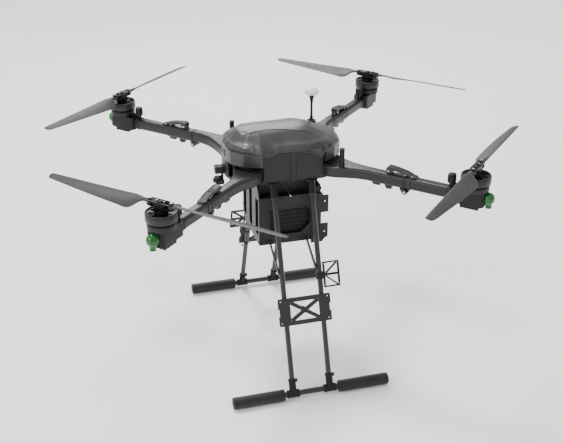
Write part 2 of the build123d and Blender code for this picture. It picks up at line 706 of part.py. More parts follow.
with BuildPart() as leg_sockets:
    for leg_x, leg_side in LEGS:
        with BuildSketch(leg_plane(leg_x, leg_side, LEG_LENGTH - SOCKET_LENGTH + 5)):
            Circle(SOCKET_RADIUS)
        extrude(amount=SOCKET_LENGTH + 20)
        with BuildSketch(Plane.XY.offset(HUB_BOTTOM_Z - 5)):
            with Locations((leg_x, leg_side * (LEG_TOP_Y - 6))):
                RectangleRounded(42, 30, 6)
        extrude(amount=5)
    with BuildSketch(Plane.XY.offset(HUB_BOTTOM_Z)):
        Rectangle(300, 300)
    extrude(amount=60, mode=Mode.SUBTRACT)
    for leg_x, leg_side in LEGS:
        with BuildSketch(leg_plane(leg_x, leg_side, LEG_LENGTH - SOCKET_LENGTH)):
            Circle(LEG_RADIUS)
        extrude(amount=SOCKET_LENGTH, mode=Mode.SUBTRACT)
save(leg_sockets, "leg_sockets")

BRACE_CENTRE = 265.6
BRACE_LENGTH = 172.0
BRACE_HEIGHT = 88.0
BRACE_THICKNESS = 4.0

with BuildPart() as brace_plates:
    for leg_side in (-1, 1):
        with BuildSketch(skid_face(leg_side, LEG_RADIUS)):
            with Locations((0, BRACE_CENTRE)):
                RectangleRounded(BRACE_LENGTH, BRACE_HEIGHT, 5)
                Rectangle(94, 60, mode=Mode.SUBTRACT)
                Rectangle(108, 12, rotation=32.5)
                Rectangle(108, 12, rotation=-32.5)
                Circle(9)
                with GridLocations(154, 70, 2, 2):
                    Circle(2, mode=Mode.SUBTRACT)
                with GridLocations(BRACE_LENGTH, 0, 2, 1):
                    Rectangle(8, 24, mode=Mode.SUBTRACT)
        extrude(amount=-leg_side * BRACE_THICKNESS)
save(brace_plates, "brace_plates")

SENSOR_REACH = 367.0
SENSOR_MOUNTS = [(LEG_X, -1, 1), (-LEG_X, 1, -1)]

with BuildPart() as sensor_brackets:
    for leg_x, leg_side, away in SENSOR_MOUNTS:
        frame_x = leg_x + away * 39
        with BuildSketch(skid_face(leg_side)):
            with Locations((frame_x, SENSOR_REACH)):
                Rectangle(54, 82)
                with Locations((0, 20), (0, -20)):
                    Rectangle(42, 33, mode=Mode.SUBTRACT)
                with Locations((0, 20)):
                    Rectangle(48, 5, rotation=away * 40)
                with Locations((0, -20)):
                    Rectangle(48, 5, rotation=away * -40)
                with GridLocations(48, 68, 2, 2):
                    Circle(1.6, mode=Mode.SUBTRACT)
            with Locations((leg_x + away * 9, SENSOR_REACH)):
                Rectangle(10, 22)
        extrude(amount=3, both=True)
        with BuildSketch(leg_plane(leg_x, leg_side, SENSOR_REACH - 11)):
            Circle(LEG_RADIUS + 3.5)
        extrude(amount=22)
        with BuildSketch(leg_plane(leg_x, leg_side, SENSOR_REACH - 60)):
            Circle(LEG_RADIUS)
        extrude(amount=120, mode=Mode.SUBTRACT)
save(sensor_brackets, "sensor_brackets")

STRUT_LOW_Z = 386.0
STRUT_HIGH_Z = 442.0
STRUT_THICKNESS = 4.0

with BuildPart() as knee_struts:
    for leg_x, leg_side in LEGS:
        strut_x = leg_x - LEG_RADIUS - STRUT_THICKNESS if leg_side < 0 else leg_x + LEG_RADIUS
        foot_y = leg_y(leg_side, STRUT_LOW_Z)
        with BuildSketch(Plane.YZ.offset(strut_x)):
            with BuildLine():
                Polyline((leg_side * BAY_HALF_WIDTH, STRUT_HIGH_Z + 6), (leg_side * BAY_HALF_WIDTH, STRUT_HIGH_Z - 8),
                         (foot_y - leg_side * 5, STRUT_LOW_Z - 6), (foot_y + leg_side * 7, STRUT_LOW_Z - 4),
                         (foot_y + leg_side * 5, STRUT_LOW_Z + 7), close=True)
            make_face()
        extrude(amount=STRUT_THICKNESS)
save(knee_struts, "knee_struts")


# ---- payload bay, battery and what is fixed to them ------------------------------------------------
RAIL_Y = 70.0
RAIL_WIDTH = 20.0
WINDOW_X = (-70.0, 62.0)
WINDOW_Z = (462.0, 549.0)
BAY_LENGTH = BAY_REAR_X - BAY_FRONT_X
BAY_MIDDLE_X = (BAY_FRONT_X + BAY_REAR_X) / 2

with BuildPart() as bay_frame:
    with BuildSketch(Plane.XY.offset(BAY_BOTTOM_Z)):
        with Locations((BAY_MIDDLE_X, 0)):
            Rectangle(BAY_LENGTH, 2 * BAY_HALF_WIDTH)
    extrude(amount=BAY_TOP_Z - BAY_BOTTOM_Z)
    # the battery's space, open at the tail
    with BuildSketch(Plane.YZ.offset(BAY_FRONT_X)):
        with Locations((0, (BAY_BOTTOM_Z + BAY_TOP_Z) / 2)):
            Rectangle(2 * (BAY_HALF_WIDTH - BAY_WALL), BAY_TOP_Z - BAY_BOTTOM_Z - 2 * BAY_WALL)
    extrude(amount=BAY_LENGTH + 10, mode=Mode.SUBTRACT)
    # windows in the side walls, with one clipped lower corner
    with BuildSketch(Plane.XZ):
        with BuildLine():
            Polyline((WINDOW_X[0], WINDOW_Z[0]), (WINDOW_X[0], WINDOW_Z[1]), (WINDOW_X[1] - 8, WINDOW_Z[1]),
                     (WINDOW_X[1], WINDOW_Z[1] - 10), (WINDOW_X[1], WINDOW_Z[0] + 28),
                     (WINDOW_X[1] - 30, WINDOW_Z[0]), close=True)
        make_face()
    extrude(amount=200, both=True, mode=Mode.SUBTRACT)
    # hanger rails up to the hub
    with BuildSketch(Plane.XY.offset(BAY_TOP_Z)):
        with GridLocations(0, 2 * RAIL_Y, 1, 2):
            with Locations((BAY_MIDDLE_X, 0)):
                Rectangle(BAY_LENGTH - 10, RAIL_WIDTH)
    extrude(amount=HUB_BOTTOM_Z - BAY_TOP_Z)
    with BuildSketch(Plane.YZ.offset(BAY_FRONT_X)):
        with GridLocations(2 * RAIL_Y, 0, 2, 1):
            with Locations((0, (BAY_TOP_Z + HUB_BOTTOM_Z) / 2)):
                Rectangle(12, HUB_BOTTOM_Z - BAY_TOP_Z - 12)
    extrude(amount=BAY_LENGTH, mode=Mode.SUBTRACT)
    # bolt holes for a payload under the bay
    with BuildSketch(Plane.XY.offset(BAY_BOTTOM_Z)):
        with GridLocations(120, 90, 2, 2):
            Circle(2.1)
    extrude(amount=BAY_WALL, mode=Mode.SUBTRACT)
save(bay_frame, "bay_frame")

PANEL_HALF_WIDTH = 114.0
PANEL_THICKNESS = 3.0

with BuildPart() as bay_front_panel:
    with BuildSketch(Plane.YZ.offset(BAY_FRONT_X)):
        with BuildLine():
            Line((-PANEL_HALF_WIDTH, 431), (-PANEL_HALF_WIDTH, 590))
            ThreePointArc((-PANEL_HALF_WIDTH, 590), (-96, 624), (-62, 644))
            Line((-62, 644), (104, 644))
            Line((104, 644), (PANEL_HALF_WIDTH, 470))
            ThreePointArc((PANEL_HALF_WIDTH, 470), (102, 442), (76, 431))
            Line((76, 431), (-PANEL_HALF_WIDTH, 431))
        make_face()
        for slot_y, slot_low, slot_high in ((-84, 460, 582), (0, 455, 622), (80, 458, 622)):
            with Locations((slot_y, (slot_low + slot_high) / 2)):
                RectangleRounded(36, slot_high - slot_low, 8, mode=Mode.SUBTRACT)
        with Locations((-42, 530), (40, 548)):
            Circle(3, mode=Mode.SUBTRACT)
    extrude(amount=-PANEL_THICKNESS)
save(bay_front_panel, "bay_front_panel")

ACCESSORY_X = 111.0
ACCESSORY_Z = (454.0, 562.0)

with BuildPart() as accessory_plate:
    with BuildSketch(Plane.XZ.offset(BAY_HALF_WIDTH)):
        with BuildLine():
            Polyline((66, 418), (104, 418), (112, 430), (123, 436), (123, 484), (97, 484), (97, 524), (123, 524),
                     (123, 584), (104, 584), (104, 592), (66, 592), close=True)
        make_face()
        with Locations((ACCESSORY_X, ACCESSORY_Z[0]), (ACCESSORY_X, ACCESSORY_Z[1])):
            Circle(2.6, mode=Mode.SUBTRACT)
    extrude(amount=3)
save(accessory_plate, "accessory_plate")

with BuildPart() as power_connector:
    with BuildSketch(Plane.XZ.offset(RAIL_Y + RAIL_WIDTH / 2)):
        with Locations((86, 611)):
            Circle(13)
    extrude(amount=24)
    with BuildSketch(Plane.XZ.offset(RAIL_Y + RAIL_WIDTH / 2 + 24)):
        with Locations((86, 611)):
            Circle(10)
    extrude(amount=14)
save(power_connector, "power_connector")

BATTERY_SIZE = (192.0, 200.0, 148.0)

with BuildPart() as battery:
    with BuildSketch(Plane.XY.offset(BAY_BOTTOM_Z + BAY_WALL + 0.3)):
        with Locations((-2, 0)):
            RectangleRounded(BATTERY_SIZE[0], BATTERY_SIZE[1], 8)
    extrude(amount=BATTERY_SIZE[2])
    # pull handle on the tail face
    with BuildSketch(Plane.XY.offset(500)):
        with Locations((104, 0)):
            RectangleRounded(28, 110, 6)
            with Locations((-4, 0)):
                Rectangle(20, 86, mode=Mode.SUBTRACT)
    extrude(amount=14)
save(battery, "battery")

with BuildPart() as camera_bracket:
    with BuildSketch(Plane.XY.offset(651)):
        with Locations((-206.5, 0)):
            RectangleRounded(29, 26, 3)
    extrude(amount=22)
    with BuildSketch(Plane.XY.offset(617)):
        with Locations((-197, 0)):
            Rectangle(5, 16)
    extrude(amount=36)
    with BuildSketch(Plane.XY.offset(617)):
        with BuildLine():
            Polyline((-194.5, -21), (-194.5, 21), (-217, 21), (-217, 16.5), (-199.5, 16.5), (-199.5, -16.5),
                     (-217, -16.5), (-217, -21), close=True)
        make_face()
    extrude(amount=14)
    with BuildSketch(Plane.XZ):
        with Locations((-212, 624)):
            Circle(2.5)
    extrude(amount=21, both=True)
    with BuildSketch(Plane.XZ):
        with Locations((-212, 624)):
            Circle(5)
    extrude(amount=13, both=True, mode=Mode.SUBTRACT)
save(camera_bracket, "camera_bracket")

with BuildPart() as camera_head:
    with BuildSketch(Plane.XZ):
        with Locations((-212, 624)):
            Circle(11)
    extrude(amount=15.5, both=True)
    fillet(camera_head.edges(), 3)
    with BuildSketch(Plane.YZ.offset(-221)):
        with Locations((0, 624)):
            Circle(7)
    extrude(amount=-5)
    with BuildSketch(Plane.XZ):
        with Locations((-212, 624)):
            Circle(2.5 + RUNNING)
    extrude(amount=20, both=True, mode=Mode.SUBTRACT)
save(camera_head, "camera_head")
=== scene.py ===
import json
from math import atan2, cos, hypot, pi, radians, sin, tan

import bmesh
import bpy
from mathutils import Matrix, Vector

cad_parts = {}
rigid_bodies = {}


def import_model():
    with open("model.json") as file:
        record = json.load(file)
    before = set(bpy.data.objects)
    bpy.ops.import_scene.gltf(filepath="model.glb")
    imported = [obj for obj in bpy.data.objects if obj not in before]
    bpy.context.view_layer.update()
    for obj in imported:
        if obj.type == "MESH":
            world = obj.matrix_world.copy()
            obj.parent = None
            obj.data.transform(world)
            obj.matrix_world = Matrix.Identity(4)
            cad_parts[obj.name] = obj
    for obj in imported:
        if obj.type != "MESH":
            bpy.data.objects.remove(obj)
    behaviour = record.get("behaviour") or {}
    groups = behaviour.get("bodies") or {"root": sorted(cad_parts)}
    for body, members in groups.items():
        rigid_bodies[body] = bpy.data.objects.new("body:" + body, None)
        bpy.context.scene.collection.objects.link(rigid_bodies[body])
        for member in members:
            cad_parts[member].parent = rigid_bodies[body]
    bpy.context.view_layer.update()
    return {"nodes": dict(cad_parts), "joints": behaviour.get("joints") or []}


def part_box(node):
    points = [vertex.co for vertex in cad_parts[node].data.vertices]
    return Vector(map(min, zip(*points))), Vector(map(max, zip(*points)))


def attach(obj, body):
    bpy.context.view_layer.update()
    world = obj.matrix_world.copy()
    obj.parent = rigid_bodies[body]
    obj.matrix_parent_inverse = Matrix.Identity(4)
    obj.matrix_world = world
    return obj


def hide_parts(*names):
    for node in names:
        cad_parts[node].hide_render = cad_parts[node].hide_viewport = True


# Looks for a heavy-lift folding quadcopter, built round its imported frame. Meshes are drawn in millimetres
# and placed in metres. +Z is up and the nose points along -X.
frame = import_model()
MM = 0.001
JOINTS = {joint["name"]: joint for joint in frame["joints"]}


# ---- placing -------------------------------------------------------------------------------------
def facing(origin, x_dir, z_dir):
    """Places local millimetres at a point, in mm, with the given directions for local x and z."""
    z_axis = Vector(z_dir).normalized()
    x_axis = Vector(x_dir).normalized()
    turn = Matrix((x_axis, z_axis.cross(x_axis), z_axis)).transposed().to_4x4()
    return Matrix.Translation(Vector(origin) * MM) @ turn @ Matrix.Scale(MM, 4)


def standing(x, y, z):
    """Places local millimetres at a point, in mm, along the frame's own axes."""
    return facing((x, y, z), (1, 0, 0), (0, 0, 1))


class Arm:
    """One arm: its directions, its joints' places, and points given by reach, leftward shift and height."""

    def __init__(self, name):
        centre = Vector(JOINTS[f"prop_spin_{name}"]["pos_m"]) / MM
        latch = Vector(JOINTS[f"latch_open_{name}"]["pos_m"]) / MM
        seam = Vector(JOINTS[f"arm_fold_{name}"]["pos_m"]) / MM
        blade = Vector(JOINTS[f"blade_fold_a_{name}"]["pos_m"]) / MM
        self.name = name
        self.motor = hypot(centre.x, centre.y)
        self.prop_z = centre.z
        self.out = Vector((centre.x, centre.y, 0)).normalized()
        self.left = Vector((-self.out.y, self.out.x, 0))
        self.seam = hypot(seam.x, seam.y)
        self.pivot = hypot(latch.x, latch.y)
        self.pivot_z = latch.z
        self.pin_reach = (blade - centre).length
        self.latch_parent = JOINTS[f"latch_open_{name}"]["parent"]
        self.near = self.latch_parent == "root"
        # side on which the hub's end lies: +1 is left
        self.end_side = 1 if self.left.x * self.out.x > 0 else -1

    def at(self, reach, left, height):
        return self.out * reach + self.left * left + Vector((0, 0, height))

    def level(self, reach, left, height):
        """Local x outward, y to the left, z up."""
        return facing(self.at(reach, left, height), self.out, (0, 0, 1))

    def side(self, reach, left, height, sign=1):
        """Local x outward and z to the left, or to the right with sign -1. For what is turned about z."""
        return facing(self.at(reach, left, height), self.out, self.left * sign)

    def profile(self):
        """Local x is the reach, y the height and z to the right. For outlines seen from the side."""
        return facing((0, 0, 0), self.out, -self.left)

    def along(self, reach, left, height):
        """Local x to the left, y up, z outward."""
        return facing(self.at(reach, left, height), self.left, self.out)


ARMS = [Arm(name[len("prop_spin_"):]) for name in JOINTS if name.startswith("prop_spin_")]


# ---- outlines, in local millimetres --------------------------------------------------------------
def circle(radius, steps=48, x=0.0, y=0.0):
    return [(x + radius * cos(2 * pi * i / steps), y + radius * sin(2 * pi * i / steps))
            for i in range(steps)]


def rectangle(width, height, x=0.0, y=0.0):
    w, h = width / 2, height / 2
    return [(x - w, y - h), (x + w, y - h), (x + w, y + h), (x - w, y + h)]


def rounded(corners, radius, steps=5):
    """The outline's corners, each one turned into an arc."""
    outline = []
    for i, corner in enumerate(corners):
        point = Vector(corner)
        before = Vector(corners[i - 1]) - point
        after = Vector(corners[(i + 1) % len(corners)]) - point
        half = before.angle(after) / 2
        reach = min(radius / tan(half), 0.49 * before.length, 0.49 * after.length)
        size = reach * tan(half)
        first = point + before.normalized() * reach
        last = point + after.normalized() * reach
        centre = point + (before.normalized() + after.normalized()).normalized() * (size / sin(half))
        for k in range(steps + 1):
            share = k / steps
            spoke = (first - centre) * (1 - share) + (last - centre) * share
            outline.append(tuple(centre + spoke.normalized() * size))
    return outline


def rounded_box(width, height, radius, x=0.0, y=0.0, steps=6):
    return rounded(rectangle(width, height, x, y), radius, steps)


# ---- mesh building -------------------------------------------------------------------------------
def skin(bm, rings, at, closed=False, caps=True):
    """Joins rings of equal point counts into a tube of quads, and caps its ends."""
    loops = [[bm.verts.new(at @ Vector(point)) for point in ring] for ring in rings]
    pairs = list(zip(loops, loops[1:]))
    if closed:
        pairs.append((loops[-1], loops[0]))
    for low, high in pairs:
        for i in range(len(low)):
            j = (i + 1) % len(low)
            bm.faces.new((low[i], low[j], high[j], high[i]))
    if caps and not closed:
        bm.faces.new(loops[0][::-1])
        bm.faces.new(loops[-1])


def turned(bm, profile, at, steps=48, closed=False, caps=True):
    """Turns a profile of (radius, height) points about local z."""
    turns = [2 * pi * i / steps for i in range(steps)]
    rings = [[(r * cos(turn), r * sin(turn), h) for turn in turns] for r, h in profile]
    skin(bm, rings, at, closed, caps)


def plate(bm, outline, low, high, at, holes=()):
    """A flat plate between two local heights, with holes cut through it."""
    flat = bmesh.new()
    loops = [[flat.verts.new((x, y, low)) for x, y in loop] for loop in (outline, *holes)]
    edges = [flat.edges.new(pair) for loop in loops for pair in zip(loop, loop[1:] + loop[:1])]
    if holes:
        bmesh.ops.triangle_fill(flat, use_beauty=True, use_dissolve=False, edges=edges)
    else:
        flat.faces.new(loops[0])
    made = {}
    for vert in flat.verts:
        made[vert] = (bm.verts.new(at @ Vector((vert.co.x, vert.co.y, low))),
                      bm.verts.new(at @ Vector((vert.co.x, vert.co.y, high))))
    for face in flat.faces:
        bm.faces.new([made[v][0] for v in face.verts])
        bm.faces.new([made[v][1] for v in reversed(face.verts)])
    for loop in loops:
        for a, b in zip(loop, loop[1:] + loop[:1]):
            bm.faces.new((made[a][0], made[b][0], made[b][1], made[a][1]))
    flat.free()


def slab(bm, x, y, z, at):
    """A block given by its low and high x, y and z."""
    plate(bm, [(x[0], y[0]), (x[1], y[0]), (x[1], y[1]), (x[0], y[1])], z[0], z[1], at)


def cap_screw(bm, at, radius=2.6, height=2.2):
    """A socket-head screw standing on local z = 0: a knurled rim and a six-sided recess."""
    steps = 24
    rings = []
    for size, level, hexed in ((1, 0, False), (1, 0.82, False), (0.88, 1, False), (0.52, 1, True),
                               (0.5, 0.45, True)):
        ring = []
        for i in range(steps):
            angle = 2 * pi * i / steps
            r = radius * size
            if hexed:
                r /= cos((angle % (pi / 3)) - pi / 6) * 1.1
            ring.append((r * cos(angle), r * sin(angle), height * level))
        rings.append(ring)
    skin(bm, rings, at)


def rivet(bm, at, radius=2.6, height=1.2):
    """A domed head with a narrow rim."""
    turned(bm, [(radius * 1.12, 0), (radius * 1.12, height * 0.25), (radius, height * 0.35),
                (radius * 0.86, height * 0.75),
                (radius * 0.5, height), (0.01, height * 1.05)], at, 24)


def nut(bm, at, radius=3.4, height=2.4):
    """A six-sided nut with a washer face and a stub of thread."""
    turned(bm, [(radius * 1.25, 0), (radius * 1.25, 0.5), (radius * 1.0, 0.5)], at, 32)
    plate(bm, circle(radius, 6), 0.5, height, at)
    turned(bm, [(radius * 0.52, height), (radius * 0.52, height + 0.9), (radius * 0.4, height + 1.1)], at,
           20)


def piece(name, bm, material, body, bevel=0.4, smooth=38.0, segments=2):
    """Makes the mesh an object that rides on a body. bevel is in millimetres."""
    bmesh.ops.remove_doubles(bm, verts=bm.verts, dist=1e-7)
    bmesh.ops.dissolve_degenerate(bm, dist=1e-8, edges=bm.edges)
    bmesh.ops.recalc_face_normals(bm, faces=bm.faces)
    for face in bm.faces:
        face.smooth = True
    for edge in bm.edges:
        edge.smooth = edge.calc_face_angle(pi) < radians(smooth)
    mesh = bpy.data.meshes.new(name)
    bm.to_mesh(mesh)
    bm.free()
    mesh.materials.append(material)
    obj = bpy.data.objects.new(name, mesh)
    bpy.context.scene.collection.objects.link(obj)
    if bevel:
        add_bevel(obj, bevel, segments)
    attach(obj, body)
    return obj


def add_bevel(obj, width, segments=2):
    bevel = obj.modifiers.new("edges", "BEVEL")
    bevel.width = width * MM
    bevel.segments = segments
    bevel.limit_method = "ANGLE"
    bevel.angle_limit = radians(40)
    bevel.harden_normals = True
    bevel.use_clamp_overlap = True


# ---- materials -----------------------------------------------------------------------------------
class Surface:
    """A node material on the frame's own coordinates, so that its grain has a real size."""

    def __init__(self, name, roughness, metallic=0.0, coat=0.0, specular=0.3):
        self.material = bpy.data.materials.new(name)
        self.material.use_nodes = True
        self.nodes = self.material.node_tree.nodes
        self.links = self.material.node_tree.links
        self.shader = self.nodes["Principled BSDF"]
        self.shader.inputs["Roughness"].default_value = roughness
        self.shader.inputs["Metallic"].default_value = metallic
        self.shader.inputs["Coat Weight"].default_value = coat
        self.shader.inputs["Specular IOR Level"].default_value = specular
        self.place = self.nodes.new("ShaderNodeTexCoord").outputs["Object"]
        self.bump = None

    def add(self, kind, **values):
        """A node, with its properties and its input sockets set by name."""
        node = self.nodes.new(kind)
        for key, value in values.items():
            if key in node.inputs:
                if isinstance(value, bpy.types.NodeSocket):
                    self.links.new(value, node.inputs[key])
                else:
                    node.inputs[key].default_value = value
            else:
                setattr(node, key, value)
        return node

    def math(self, operation, a, b=0.0):
        node = self.nodes.new("ShaderNodeMath")
        node.operation = operation
        for socket, value in zip(node.inputs, (a, b)):
            if isinstance(value, bpy.types.NodeSocket):
                self.links.new(value, socket)
            else:
                socket.default_value = value
        return node.outputs[0]

    def turned_place(self, degrees_about_z=0.0, scale=(1, 1, 1)):
        node = self.add("ShaderNodeMapping", Vector=self.place, Rotation=(0, 0, radians(degrees_about_z)),
                        Scale=scale)
        return node.outputs[0]

    def noise(self, size_mm, detail=3.0, place=None, roughness=0.5):
        """Noise whose features are about that size."""
        node = self.add("ShaderNodeTexNoise", Vector=place or self.place, Scale=1 / (size_mm * MM),
                        Detail=detail,
                        Roughness=roughness)
        return node.outputs["Fac"]

    def ramp(self, value, low, high, start=0.35, end=0.65):
        """A colour between two, as the value goes from start to end."""
        node = self.nodes.new("ShaderNodeValToRGB")
        self.links.new(value, node.inputs[0])
        for element, place, colour in zip(node.color_ramp.elements, (start, end), (low, high)):
            element.position = place
            element.color = (*colour, 1)
        return node.outputs["Color"]

    def range(self, value, low, high, start=0.3, end=0.7):
        node = self.nodes.new("ShaderNodeMapRange")
        self.links.new(value, node.inputs["Value"])
        for name, number in (("From Min", start), ("From Max", end), ("To Min", low), ("To Max", high)):
            node.inputs[name].default_value = number
        return node.outputs["Result"]

    def mix(self, share, a, b):
        node = self.nodes.new("ShaderNodeMix")
        node.data_type = "RGBA"
        for socket, value in ((node.inputs["Factor"], share), (node.inputs[6], a), (node.inputs[7], b)):
            if isinstance(value, bpy.types.NodeSocket):
                self.links.new(value, socket)
            else:
                socket.default_value = (*value, 1)
        return node.outputs[2]

    def relief(self, height, depth_mm, strength=1.0):
        """Bumps of that depth, stacked on any added before."""
        node = self.add("ShaderNodeBump", Strength=strength, Distance=depth_mm * MM, Height=height)
        if self.bump is not None:
            self.links.new(self.bump, node.inputs["Normal"])
        self.bump = node.outputs["Normal"]
        self.links.new(self.bump, self.shader.inputs["Normal"])

    def edges(self, width_mm):
        """0 on flat faces, rising along edges."""
        soft = self.add("ShaderNodeBevel", samples=4, Radius=width_mm * MM).outputs["Normal"]
        flat = self.nodes.new("ShaderNodeNewGeometry").outputs["Normal"]
        node = self.nodes.new("ShaderNodeVectorMath")
        node.operation = "DOT_PRODUCT"
        self.links.new(soft, node.inputs[0])
        self.links.new(flat, node.inputs[1])
        return self.math("SUBTRACT", 1.0, node.outputs["Value"])

    def colour(self, socket):
        self.links.new(socket, self.shader.inputs["Base Color"])

    def rough(self, socket):
        self.links.new(socket, self.shader.inputs["Roughness"])


def grey(level, tint=0.0):
    return (level, level * (1 + tint / 2), level * (1 + tint))


def moulded(name, level, roughness, grain_mm=0.5, grain_depth=0.03, wear=0.5, metallic=0.0, coat=0.0,
            tint=0.03):
    """Moulded or cast surface: fine grain, faint clouding, handled patches, and edges rubbed lighter."""
    s = Surface(name, roughness, metallic, coat)
    cloud = s.noise(60, 4)
    base = s.ramp(cloud, grey(level * 0.86, tint), grey(level * 1.14, tint))
    if wear:
        patchy = s.math("MULTIPLY", s.edges(0.9), s.range(s.noise(9, 5), 0.2, 2.2))
        worn = s.math("MINIMUM", s.math("MULTIPLY", patchy, wear), 0.55)
        base = s.mix(worn, base, grey(min(0.5, level * 3 + 0.02), tint))
    s.colour(base)
    s.rough(s.range(s.noise(14, 5), roughness * 0.88, min(1, roughness * 1.14)))
    s.relief(s.noise(grain_mm, 2), grain_depth)
    s.relief(s.noise(40, 2), 0.12, 0.5)
    return s.material


def brushed(name, level, roughness, metallic, direction, grain_mm=0.18, tint=0.0):
    """Sheet with fine lines along one direction of the frame, given as the stretch along each axis."""
    s = Surface(name, roughness, metallic)
    lines = s.noise(grain_mm, 3, s.turned_place(0, direction))
    base = s.ramp(lines, grey(level * 0.88, tint), grey(level * 1.1, tint))
    worn = s.math("MINIMUM", s.math("MULTIPLY", s.edges(0.8), 1.2), 0.5)
    s.colour(s.mix(worn, base, grey(min(0.7, level * 2.4 + 0.02), tint)))
    s.rough(s.range(lines, roughness * 0.85, roughness * 1.2))
    s.relief(lines, 0.02)
    s.relief(s.noise(30, 2), 0.08, 0.5)
    return s.material


def woven(name, turn, tow_mm=2.0, level=0.016, roughness=0.32):
    """Twill-woven carbon under lacquer. The weave runs along x after a turn about the vertical."""
    s = Surface(name, roughness, 0.0, 0.35)
    s.shader.inputs["Coat Roughness"].default_value = 0.22
    split = s.add("ShaderNodeSeparateXYZ", Vector=s.turned_place(turn))
    along = s.math("DIVIDE", split.outputs["X"], tow_mm * MM)
    across = s.math("DIVIDE", s.math("ADD", split.outputs["Y"], split.outputs["Z"]), tow_mm * MM)
    diagonal = s.math("ADD", s.math("FLOOR", along), s.math("FLOOR", across))
    over = s.math("LESS_THAN", s.math("FLOORED_MODULO", diagonal, 4.0), 1.5)
    crown = s.math("ABSOLUTE", s.math("SUBTRACT", s.math("FRACT", along), 0.5))
    crown_across = s.math("ABSOLUTE", s.math("SUBTRACT", s.math("FRACT", across), 0.5))
    pick = s.nodes.new("ShaderNodeMix")
    for socket, value in ((pick.inputs[0], over), (pick.inputs[2], crown), (pick.inputs[3], crown_across)):
        s.links.new(value, socket)
    height = s.math("SUBTRACT", 0.5, pick.outputs[0])
    fibre = s.noise(0.3, 2, s.turned_place(turn, (0.15, 1, 1)))
    tone = s.math("ADD", s.math("MULTIPLY", over, 0.3), s.math("MULTIPLY", fibre, 0.6))
    s.colour(s.ramp(tone, grey(level * 0.6, 0.03), grey(level * 1.35, 0.03), 0.25, 0.75))
    s.rough(s.range(s.noise(25, 4), roughness * 0.9, roughness * 1.2))
    s.relief(height, 0.05, 0.6)
    s.relief(s.noise(12, 3), 0.05, 0.4)
    return s.material


def foam_rubber(name, level):
    """Closed-cell foam: fine pores, scuffed patches and a dull sheen."""
    s = Surface(name, 0.5)
    s.shader.inputs["Sheen Weight"].default_value = 0.04
    s.shader.inputs["Sheen Roughness"].default_value = 0.6
    cells = s.add("ShaderNodeTexVoronoi", Vector=s.place, Scale=1 / (0.9 * MM)).outputs["Distance"]
    s.colour(s.ramp(s.noise(22, 5), grey(level * 0.75), grey(level * 1.3)))
    s.relief(cells, 0.12, 0.6)
    s.relief(s.noise(7, 4), 0.25, 0.5)
    return s.material


def lamp_lens(name):
    """Clear green lens over a patterned reflector."""
    s = Surface(name, 0.22, 0.0, 0.2)
    swirl = s.add("ShaderNodeTexNoise", Vector=s.place, Scale=1 / (9 * MM), Detail=4,
                  Distortion=2.2).outputs["Fac"]
    s.colour(s.ramp(swirl, (0.001, 0.03, 0.004), (0.008, 0.17, 0.016), 0.36, 0.62))
    s.shader.inputs["Transmission Weight"].default_value = 0.15
    s.shader.inputs["Emission Color"].default_value = (0.02, 0.35, 0.04, 1)
    s.shader.inputs["Emission Strength"].default_value = 0.05
    ribs = s.add("ShaderNodeTexWave", Vector=s.place, Scale=1 / (9 * MM), bands_direction="Z").outputs["Fac"]
    s.relief(ribs, 0.25, 0.5)
    return s.material


def copper_wire(name):
    s = Surface(name, 0.3, 0.9)
    turns = s.add("ShaderNodeTexWave", Vector=s.place, Scale=1 / (2.6 * MM),
                  bands_direction="DIAGONAL").outputs["Fac"]
    s.colour(s.ramp(turns, (0.16, 0.05, 0.02), (0.5, 0.2, 0.09), 0.2, 0.8))
    s.relief(turns, 0.3)
    return s.material


def dark_glass(name):
    s = Surface(name, 0.05, 0.0, 1.0)
    s.colour(s.ramp(s.noise(6, 1), (0.004, 0.004, 0.008), (0.012, 0.01, 0.03)))
    return s.material


CANOPY = moulded("canopy_satin", 0.034, 0.36, grain_mm=0.6, grain_depth=0.02, wear=0.7, coat=0.1)
SHELL = moulded("hub_satin", 0.011, 0.46, wear=0.8)
MOULDING = moulded("arm_moulding", 0.014, 0.36, wear=0.7)
BLACK = moulded("black_plastic", 0.004, 0.5, wear=0.5)
CASE = moulded("battery_case", 0.0025, 0.6, grain_mm=1.1, grain_depth=0.08, wear=0.35)
BAY = moulded("bay_composite", 0.012, 0.5, wear=0.8)
ALLOY = moulded("dark_anodised", 0.018, 0.4, grain_mm=0.25, grain_depth=0.012, wear=1.2, metallic=0.75)
LEVER = moulded("lever_anodised", 0.04, 0.42, grain_mm=0.3, grain_depth=0.02, wear=1.2, metallic=0.6)
CLAMP = moulded("black_anodised", 0.005, 0.36, grain_mm=0.25, grain_depth=0.012, wear=1.0, metallic=0.6)
MOTOR_GREY = moulded("motor_grey", 0.022, 0.42, grain_mm=0.25, grain_depth=0.01, wear=0.8, metallic=0.3)
BLADE = moulded("blade_composite", 0.028, 0.42, grain_mm=0.35, grain_depth=0.015, wear=0.6)
PLATE = brushed("plate_composite", 0.024, 0.46, 0.1, (0.08, 1, 1))
SOFT_PLATE = brushed("strut_composite", 0.015, 0.48, 0.1, (1, 1, 0.08))
STEEL = brushed("ground_steel", 0.5, 0.28, 1.0, (0.1, 0.1, 1))
DARK_STEEL = brushed("blackened_steel", 0.035, 0.4, 0.9, (0.1, 0.1, 1))
PALE = moulded("white_plastic", 0.72, 0.24, grain_mm=0.8, grain_depth=0.01, wear=0, coat=0.4, tint=0.02)
RUBBER = foam_rubber("black_rubber", 0.004)
FOAM = foam_rubber("foot_foam", 0.009)
LENS = lamp_lens("green_lens")
LENS_DARK = lamp_lens("green_lens_facets")
COPPER = copper_wire("winding_wire")
GLASS = dark_glass("camera_glass")
WEAVE = {"x": woven("carbon_along_x", 0), "y": woven("carbon_along_y", 90)}
ARM_SATIN = moulded("arm_satin", 0.012, 0.34, grain_mm=0.4, grain_depth=0.012, wear=0.4)


